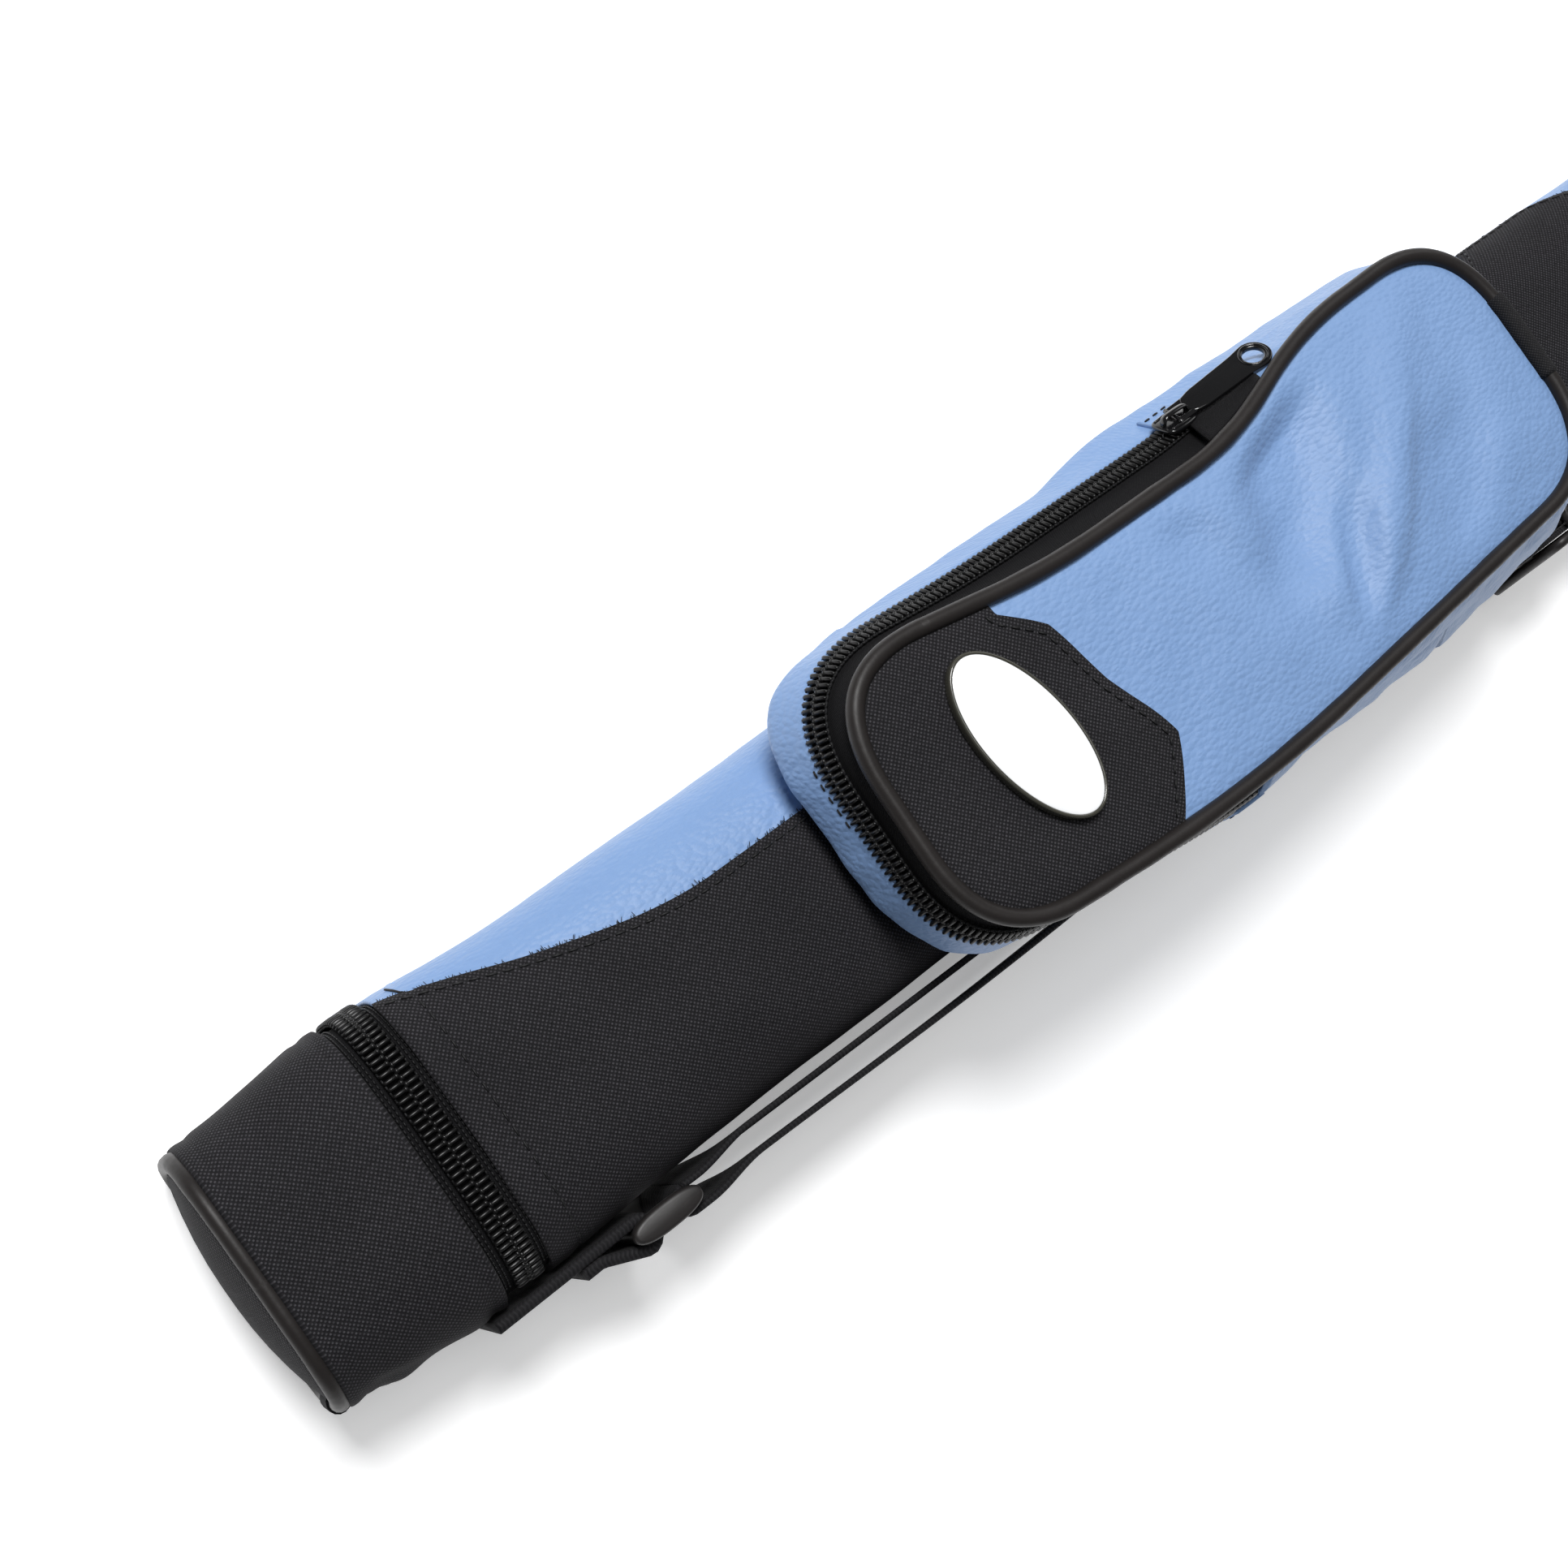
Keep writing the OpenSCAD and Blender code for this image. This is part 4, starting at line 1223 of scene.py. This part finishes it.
def make_yoke():
    """The woven patch on the pocket's lid end, with a stitched edge whose corners are a little rounded."""
    edge_y = np.linspace(25.5, -33.8, 90)
    soft = smooth_line(YOKE_EDGE[1:-1], 90)
    soft_x, sharp_x = (np.interp(edge_y, line[::-1, 1], line[::-1, 0]) for line in (soft, YOKE_EDGE))
    right = np.column_stack([mix(soft_x, sharp_x, 0.6), edge_y])
    q0, q1 = nearest_q(right[0]), nearest_q(right[-1])
    left = pocket_xy(1, np.linspace(q0 - LOOP_LENGTH if q0 > q1 else q0, q1, 90))
    right[0], right[-1] = left[0], left[-1]
    left = left + unit(np.array([-222.0, 0.0]) - left) * 1.1
    rows = [mix(left, right, v) for v in (0, 0.03, 0.07, *np.linspace(0.12, 1, 42))]
    rows = np.array([upright(xy, front_height(xy) + 0.75) for xy in rows])
    yoke = Piece("pocket_yoke_cloth", "black_woven", WEAVE, THREAD)
    loop = np.concatenate([rows, (rows - [0, 0, 0.7])[::-1]])
    yoke.grid(loop, True, pattern=loop * [1, 1, 0], sides=True)
    line = right - unit(np.gradient(right, axis=0))[:, ::-1] * [-1, 1] * 2.2
    if line[45, 0] > right[45, 0]:
        line = 2 * right - line
    line = line[edge_distance(line) > 2.6]
    path = upright(line, front_height(line) + 0.78)
    stitches(yoke, path, np.tile([0, 0, 1.0], (len(path), 1)), 2.0, 2.9)
    yoke.make("pocket_flap", ["pocket_yoke"])

def nearest_q(place):
    return FRONT_Q[np.argmin(np.linalg.norm(FRONT_XY - place, axis=1))]


def make_badge():
    base_low, base_high = low("badge_base"), high("badge_base")
    middle, z = (base_low + base_high)[:2] / 2, base_low[2]
    turn = math.radians(10.9)
    c, s = math.cos(turn), math.sin(turn)
    a = ring_angles(96)

    def oval(grow, scale, up):
        p = scale * np.column_stack([(10.5 + grow) * np.cos(a), (20.5 + grow) * np.sin(a)])
        return upright(p @ np.array([[c, s], [-s, c]]) + middle, z + up)

    rim = Piece("badge_rim", "badge_bezel", BEZEL)
    profile = ((-0.1, -0.6), (0, 0.2), (0, 1.7), (-0.12, 2.05), (-0.35, 2.2), (-0.6, 2.2), (-0.8, 2.0),
               (-0.85, -0.4))
    rim.grid(np.array([oval(grow, 1, up) for grow, up in profile]), True, True)
    rim.make("pocket_flap", ["badge_base"])
    face = Piece("badge_face", "badge_face", BADGE)
    rows = [oval(-0.75, f, -0.3) for f in (0.0, 0.5, 1.0)]
    for f in (1.0, 0.985, 0.95, 0.88, 0.76, 0.6, 0.4, 0.2, 0.0):
        rows.append(oval(-0.75, f, 1.95 + 0.75 * (1 - f**2) ** 0.6))
    face.grid(np.array(rows), close_v=True)
    face.make("pocket_flap", ["badge_dome"])


# ---- zip sliders ----
def pear():
    """Plan outline of a slider's top plate: straight sides, a round nose and a narrower tail."""
    line = np.array([[-4.4, -2.3], [-3.2, -3.6], [2.2, -3.7], [5.4, -2.4], [6.3, 0], [5.4, 2.4], [2.2, 3.7],
                     [-3.2, 3.6], [-4.4, 2.3]])
    for _ in range(3):
        line = cut_corners(np.vstack([line, line[:1]]))
    return spaced(line, count=64, closed=True)


def placed(points, move):
    return points @ move[:3, :3].T + move[:3, 3]


def block(piece, x0, x1, y0, y1, z0, z1, move, bevel):
    r = min(bevel * 2, (x1 - x0) / 2.2, (y1 - y0) / 2.2)
    piece.plate(round_rectangle(x0, x1, y0, y1, r, 5), z0, z1, bevel, move)


def slider_piece(name, node, body, move, depth):
    piece = Piece(name, "zip_metal", METAL)
    piece.plate(pear(), 0.0, 1.15, 0.4, move, crown=0.25)
    block(piece, 1, 4, -0.25, 0.25, -depth, 0.2, move, 0.1)
    block(piece, -4, 4, -3.7, 0.25, -depth - 1, -depth, move, 0.3)
    arch = np.array([[-3.2, 0, 0.8], [-3.3, 0, 2.0], [-2.7, 0, 2.9], [-1.2, 0, 3.15],
                     [2.4, 0, 3.15], [3.6, 0, 2.9], [4.0, 0, 2.0], [3.9, 0, 0.8]])
    piece.rod(smooth_line(arch, 40), 0.42, 10, (0, 1, 0), squeeze=2.1, move=move)
    for side in (-1, 1):
        ridge = np.array([[-3.2, side * 2.6, 1.15], [0, side * 2.9, 1.25], [3.6, side * 2.4, 1.2]])
        piece.rod(smooth_line(ridge, 16), 0.35, 8, move=move)
    return piece.make(body, [node])


def pull_piece(name, node, body, move, length):
    """Flat pull with a round hole, two arms and the cross bar under the slider's bridge."""
    piece = Piece(name, "zip_metal", METAL)
    thick, nose_r = 0.6, 4.1
    hole_x = length - nose_r

    def round_hole(angle, radius):
        return np.column_stack([hole_x + radius * np.cos(angle), radius * np.sin(angle)])

    nose = round_hole(np.radians(np.linspace(-90, 90, 25)), nose_r)
    shape = np.vstack([[[4.2, 2.6], [3.4, 1.7], [3.4, -1.7], [4.2, -2.6], [7, -3.2], [hole_x - 4, -3.6]], nose,
                       [[hole_x - 4, 3.6], [7, 3.2]]])
    outer = spaced(shape, count=72, closed=True)
    outer = np.roll(outer, -np.argmax(outer[:, 0]), axis=0)
    angle = np.unwrap(np.arctan2(outer[:, 1], outer[:, 0] - hole_x))
    piece.plate(outer, -thick, thick, 0.32, move, hole=round_hole(angle, 2.4))
    piece.rod(upright(round_hole(ring_angles(48), 3.1), thick), 0.28, 8, closed=True, move=move)
    for side in (-1, 1):
        block(piece, -0.4, 4.6, side * 2.05 - 0.7, side * 2.05 + 0.7, -0.5, 0.5, move, 0.3)
    piece.rod(np.linspace([0, -2.8, 0], [0, 2.8, 0], 6), 0.55, 12, move=move)
    return piece.make(body, [node])


def turn_matrix(axis, degrees):
    return np.array(Matrix.Rotation(math.radians(degrees), 4, axis))


def shift_matrix(x, y, z):
    out = np.eye(4)
    out[:3, 3] = (x, y, z)
    return out


COIL_UP, CHAIN_GAP = 0.4, 0.3
POCKET_CHAIN_Y, POCKET_GAP, POCKET_LOW = 33.4, 1.25, 3.1
SLIDER_LOW = 2.1 + 0.8 + 2 * CHAIN_GAP
WALL_LEAN = 48.9
SLIDER_X = -153
PULL_X, PULL_Z = 0.2, 1.75
PULL_REST = 8


def make_sliders():
    lid = shift_matrix(ZIP_X, -13, RECESS - COIL_UP - CHAIN_GAP) @ turn_matrix("Z", 90) @ turn_matrix("X", 180)
    slider_piece("lid_slider", "lid_zip_slider", "lid_zip_slider", lid, SLIDER_LOW)
    pull_piece("lid_pull", "lid_zip_pull", "lid_zip_pull", lid @ shift_matrix(PULL_X, 0, PULL_Z), 16)
    lean = math.radians(WALL_LEAN)
    y = POCKET_CHAIN_Y + POCKET_GAP * math.sin(lean)
    z = pocket_z(MID_T) + POCKET_GAP * math.cos(lean)
    pocket = shift_matrix(SLIDER_X + 1.2, y, z) @ turn_matrix("X", -WALL_LEAN)
    slider_piece("pocket_slider", "pocket_zip_slider", "pocket_zip_slider", pocket, POCKET_LOW)
    pull = pocket @ shift_matrix(PULL_X, 0, PULL_Z)
    for axis, degrees in (("Z", -5), ("Y", -PULL_REST), ("X", 12)):
        pull = pull @ turn_matrix(axis, degrees)
    pull_piece("pocket_pull", "pocket_zip_pull", "pocket_zip_pull", pull, 28)


# ---- straps ----
def arc(middle, radius, a0, a1, count=16):
    a = np.radians(np.linspace(a0, a1, count))
    return np.column_stack([middle[0] + radius * np.cos(a), middle[1] + radius * np.sin(a)])


def webbing(piece, path, step=1.2, lean=None, thick=WEB_T):
    """Flat webbing on edge along a plan path, with round selvedges. lean gives its slope at each x."""
    path = spaced(np.asarray(path, float), step)
    along = unit(np.gradient(path, axis=0))
    side = np.column_stack([-along[:, 1], along[:, 0]])
    half = (WEB_HIGH - WEB_LOW) / 2
    middle = (WEB_HIGH + WEB_LOW) / 2
    v = np.linspace(-half + 0.7, half - 0.7, 15)
    bend = np.linspace(0.4, math.pi - 0.4, 5)
    over, down = 0.7 * np.sin(bend) + half - 0.7, thick / 2 * np.cos(bend)
    profile = np.array([*[(w, thick / 2) for w in v], *zip(over, down), *[(w, -thick / 2) for w in v[::-1]],
                        *zip(-over, -down)])
    points = np.empty((len(path), len(profile), 3))
    points[..., :2] = path[:, None] + side[:, None] * profile[None, :, 1:2]
    points[..., 2] = middle + profile[None, :, 0]
    if lean is not None:
        points[..., 1] += lean(path[:, 0])[:, None] * profile[None, :, 0]
    pattern = np.stack(np.broadcast_arrays(path_length(path)[:, None], profile[None, :, 0], 0.0), axis=-1)
    piece.grid(points, close_v=True, pattern=pattern, caps=True)


def leaned(points, slope=STRAP_LEAN):
    """Points of a strap part tipped out at the foot, as the slack strap is."""
    return points + slope * (points[..., 2:] - (WEB_HIGH + WEB_LOW) / 2) * [0, 1, 0]


def box_stitch(piece, x0, x1, y, way, slope=0.0):
    """A sewn box with a cross on webbing that stands on edge at y."""
    z0, z1 = WEB_LOW + 3, WEB_HIGH - 3
    corners = [(x0, y, z0), (x1, y, z0), (x1, y, z1), (x0, y, z1), (x0, y, z0), (x1, y, z1)]
    for a, b in zip(corners[:-1], corners[1:]):
        stitches(piece, leaned(np.linspace(a, b, 20), slope), np.tile([0, float(way), 0], (20, 1)), 1.8, 2.6)


def ring_plates(piece, x0, x1, y, z0, z1, bar_r):
    """Moulded strap ring: two round bars between two oval end plates."""
    a = ring_angles(48)
    round_x, round_y = (np.sign(v) * np.abs(v) ** 0.8 for v in (np.cos(a), np.sin(a)))
    oval = np.column_stack([(x0 + x1) / 2 + ((x1 - x0) / 2 + 2.4) * round_x, y + 0.6 + 2.7 * round_y])
    piece.plate(oval, z0, WEB_LOW - 0.3, 0.9)
    piece.plate(oval, WEB_HIGH + 0.3, z1, 0.9, crown=0.25)
    for x in (x0, x1):
        piece.rod(np.linspace([x, y, z0 + 1], [x, y, z1 - 1], 8), bar_r, 14, (1, 0, 0))


def make_straps():
    ring_low, ring_high = low("strap_ring"), high("strap_ring")
    bar_r = 1.75
    ring_y = (ring_low[1] + ring_high[1]) / 2
    tab_bar, strap_bar = ring_low[0] + bar_r, ring_high[0] - bar_r
    off = 2.05 + WEB_T / 2
    lap = WEB_T + 0.1
    tab_y = high("lid_strap_tab")[1] - TAB_T / 2
    tab_off, tab_lap = 2.05 + TAB_T / 2, TAB_T + 0.1
    adj_x, adj_y = -46.0, -39.25
    out_y, in_y = adj_y - 4.25, adj_y + 2.5

    def tab(start):
        return np.vstack([[[start, tab_y], [tab_bar - 9, tab_y]], arc((tab_bar, ring_y), tab_off, 90, -90),
                          [[tab_bar - 9, tab_y - tab_lap], [tab_bar - 13, tab_y - tab_lap]]])

    near = Piece("strap_tab_webbing", "webbing", WEBBING, THREAD)
    webbing(near, tab(low("lid_strap_tab")[0]), thick=TAB_T)
    box_stitch(near, ZIP_X - 9, ZIP_X - 3.5, tab_y - TAB_T / 2, -1)
    box_stitch(near, tab_bar - 12, tab_bar - 9.2, tab_y - tab_lap - TAB_T / 2, -1)
    made = near.make(None, ["lid_strap_tab", "strap_tab"])
    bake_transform(made)

    far = Piece("end_tab_webbing", "webbing", WEBBING, THREAD)
    mirrored = tab(-high("bottom_strap_tab")[0]) * [-1, 1]
    webbing(far, mirrored, thick=TAB_T)
    box_stitch(far, -ZIP_X - 4, -ZIP_X + 6, tab_y - TAB_T / 2, -1)
    box_stitch(far, -tab_bar + 9.2, -tab_bar + 12, tab_y - tab_lap - TAB_T / 2, -1)
    far.make("case", ["bottom_strap_tab"])

    for name, node, way in (("strap_ring_near", "strap_ring", 1), ("strap_ring_far", "bottom_strap_ring", -1)):
        ring = Piece(name, "strap_plastic", PLASTIC)
        a, b = sorted((way * tab_bar, way * strap_bar))
        ring_plates(ring, a, b, ring_y, ring_low[2], ring_high[2], bar_r)
        ring.make("case", [node])

    def lean(x):
        """The slack strap tips out at its foot between the rings."""
        return STRAP_LEAN * smooth((x - strap_bar - 4) / 14) * smooth((-strap_bar - 4 - x) / 14)

    joints = {joint["name"]: joint for joint in frame["record"]["behaviour"]["joints"]}
    travel = joints["adjuster_slide"]["range_m"][1]
    strap = Piece("strap_long", "webbing", WEBBING, THREAD)
    run = np.linspace(strap_bar + 6, adj_x - 12, 40)
    travelled = high("strap_adjuster")[0] - adj_x + 2 + travel / MM
    slack = np.clip((run - run[0]) / (adj_x - travelled - run[0]), 0, 1)
    k = (run - strap_bar) / (adj_x - strap_bar)
    out_run = np.column_stack([run, mix(ring_y - off, out_y, k) - 0.9 * np.sin(slack * math.pi) ** 2])
    back_run = np.linspace(adj_x + 12, -strap_bar - 6, 50)
    k = (back_run - back_run[0]) / (back_run[-1] - back_run[0])
    back = np.column_stack([back_run, mix(out_y, ring_y - off, k) - 0.5 * np.sin(k * math.pi * 2) ** 2])
    tail_x = np.array([-strap_bar - 8, -strap_bar - 20, -strap_bar - 40])
    tail_y = np.interp(tail_x, back_run, back[:, 1]) + lap
    path = np.vstack([arc((strap_bar, ring_y), off, 90, 270), out_run, [[adj_x, out_y]], back,
                      arc((-strap_bar, ring_y), off, -90, 90), np.column_stack([tail_x, tail_y])])
    webbing(strap, path, lean=lean)
    end_y = float(np.interp(-strap_bar - 28, back_run, back[:, 1])) - WEB_T / 2
    box_stitch(strap, -strap_bar - 34, -strap_bar - 22, end_y, -1)
    strap.make("case", ["strap_webbing"])

    inner = Piece("strap_doubled", "webbing", WEBBING, THREAD)
    run = np.linspace(strap_bar + 0.3, adj_x - 8.3, 40)
    k = (run - run[0]) / (run[-1] - run[0])
    webbing(inner, np.column_stack([run, mix(ring_y + off, in_y, k) - 0.9 * np.sin(k * math.pi)]), lean=lean)
    made = inner.make("case", ["strap_return"])
    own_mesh(made)

    loop = Piece("strap_end_turn", "webbing", WEBBING, THREAD)
    turn = arc((adj_x, adj_y), in_y - adj_y, 90, -170, 20)
    webbing(loop, np.vstack([[[adj_x - 8, in_y]], turn]), step=0.6, lean=lean)
    box_stitch(loop, adj_x - 7, adj_x - 3, in_y + WEB_T / 2, 1, STRAP_LEAN)
    loop.make("strap_adjuster", ["strap_end_loop"])

    adj_low, adj_high = low("strap_adjuster"), high("strap_adjuster")
    adjuster = Piece("adjuster_slide_buckle", "strap_plastic", PLASTIC)
    side_y = out_y - WEB_T / 2 - 1.6
    z_ends = adj_low[2] + 1.3, adj_high[2] - 1.3
    frame_line = round_rectangle(adj_low[0] + 1.2, adj_high[0] - 1.2, *z_ends, 1.8, 7)
    path = spaced(np.insert(frame_line, 1, side_y, axis=1), 1.5, closed=True)
    adjuster.grid(leaned(tube_grid(path, 1.25, 14, (0, 1, 0), closed=True)), True, True)
    bar = np.linspace([adj_x, adj_y, adj_low[2] + 0.2], [adj_x, adj_y, adj_high[2] - 0.2], 12)
    adjuster.grid(leaned(tube_grid(bar, 1.5, 14, (1, 0, 0))), close_v=True, caps=True)
    for z in z_ends:
        ear = np.array([[adj_x, side_y, z], [adj_x, adj_y, z]])
        adjuster.grid(leaned(tube_grid(spaced(ear, 1.0), 1.3, 12)), close_v=True, caps=True)
    adjuster.make("strap_adjuster", ["strap_adjuster"])


def make_pocket_trims():
    """Cloth over the piping's join and the end of the pocket's zip."""
    box_low, box_high = low("pocket_piping_sleeve"), high("pocket_piping_sleeve")
    middle_y = (box_low[1] + box_high[1]) / 2
    xy = pocket_xy(1, np.linspace(0, LOOP_LENGTH, 3000))
    path = spaced(xy[(xy[:, 0] > -75) & (np.abs(xy[:, 1] - middle_y) < 11)], 0.8)
    sleeve = Piece("pocket_piping_join", "piping_sleeve", SLEEVE)
    radius = PIPE_R + 0.42 + 0.08 * ripple(np.arange(len(path)) * 0.8, np.zeros(len(path)), 5, 51)
    sleeve.rod(upright(path, FRONT_Z), radius, 16)
    sleeve.make("case", ["pocket_piping_sleeve"])

    a, b = fold_crossings(MID_T)
    for name, start in (("near", b - 1.5), ("far", a - 6.5)):
        tab = Piece("pocket_zip_end_" + name, "blue_leatherette", BLUE, THREAD)
        q = np.linspace(start, start + 8, 12)
        levels = np.linspace(HEM_T - 0.16, MID_T - 0.06, 10)
        rows = [off_wall(t, q, 1.0 + 0.25 * smooth((t - HEM_T) / 0.1)) for t in levels]
        open_shell(tab, rows, 0.9)
        stitches(tab, rows[2], outward(np.array(rows))[2], 1.6, 2.2)
        tab.make("case")

    tail = Piece("pocket_zip_tape_tail", "zip_tape", TAPE)
    rows = []
    for t in np.linspace(MID_T + 0.03, 0.93, 12):
        start = fold_crossings(t)[1] + 1.8
        row_q = np.linspace(start, start - mix(5, 21, smooth((t - MID_T) / 0.35)), 14)
        rows.append(off_wall(t, row_q, 1.35))
    open_shell(tail, rows, 0.6)
    tail.make("case")


for name, material in (("liner_tube", CAD_BOARD), ("lid_liner", CAD_BOARD), ("lining", CAD_LINING),
                       ("lid_lining", CAD_LINING), ("channel_divider", CAD_LINING)):
    frame["nodes"][name].data.materials.clear()
    frame["nodes"][name].data.materials.append(material)

make_camera()
make_stage()
make_lid()
make_lid_zip()
make_case_walls()
make_pocket_walls()
make_pocket_zip()
make_pocket_front()
make_badge()
make_sliders()
make_pocket_trims()
make_straps()
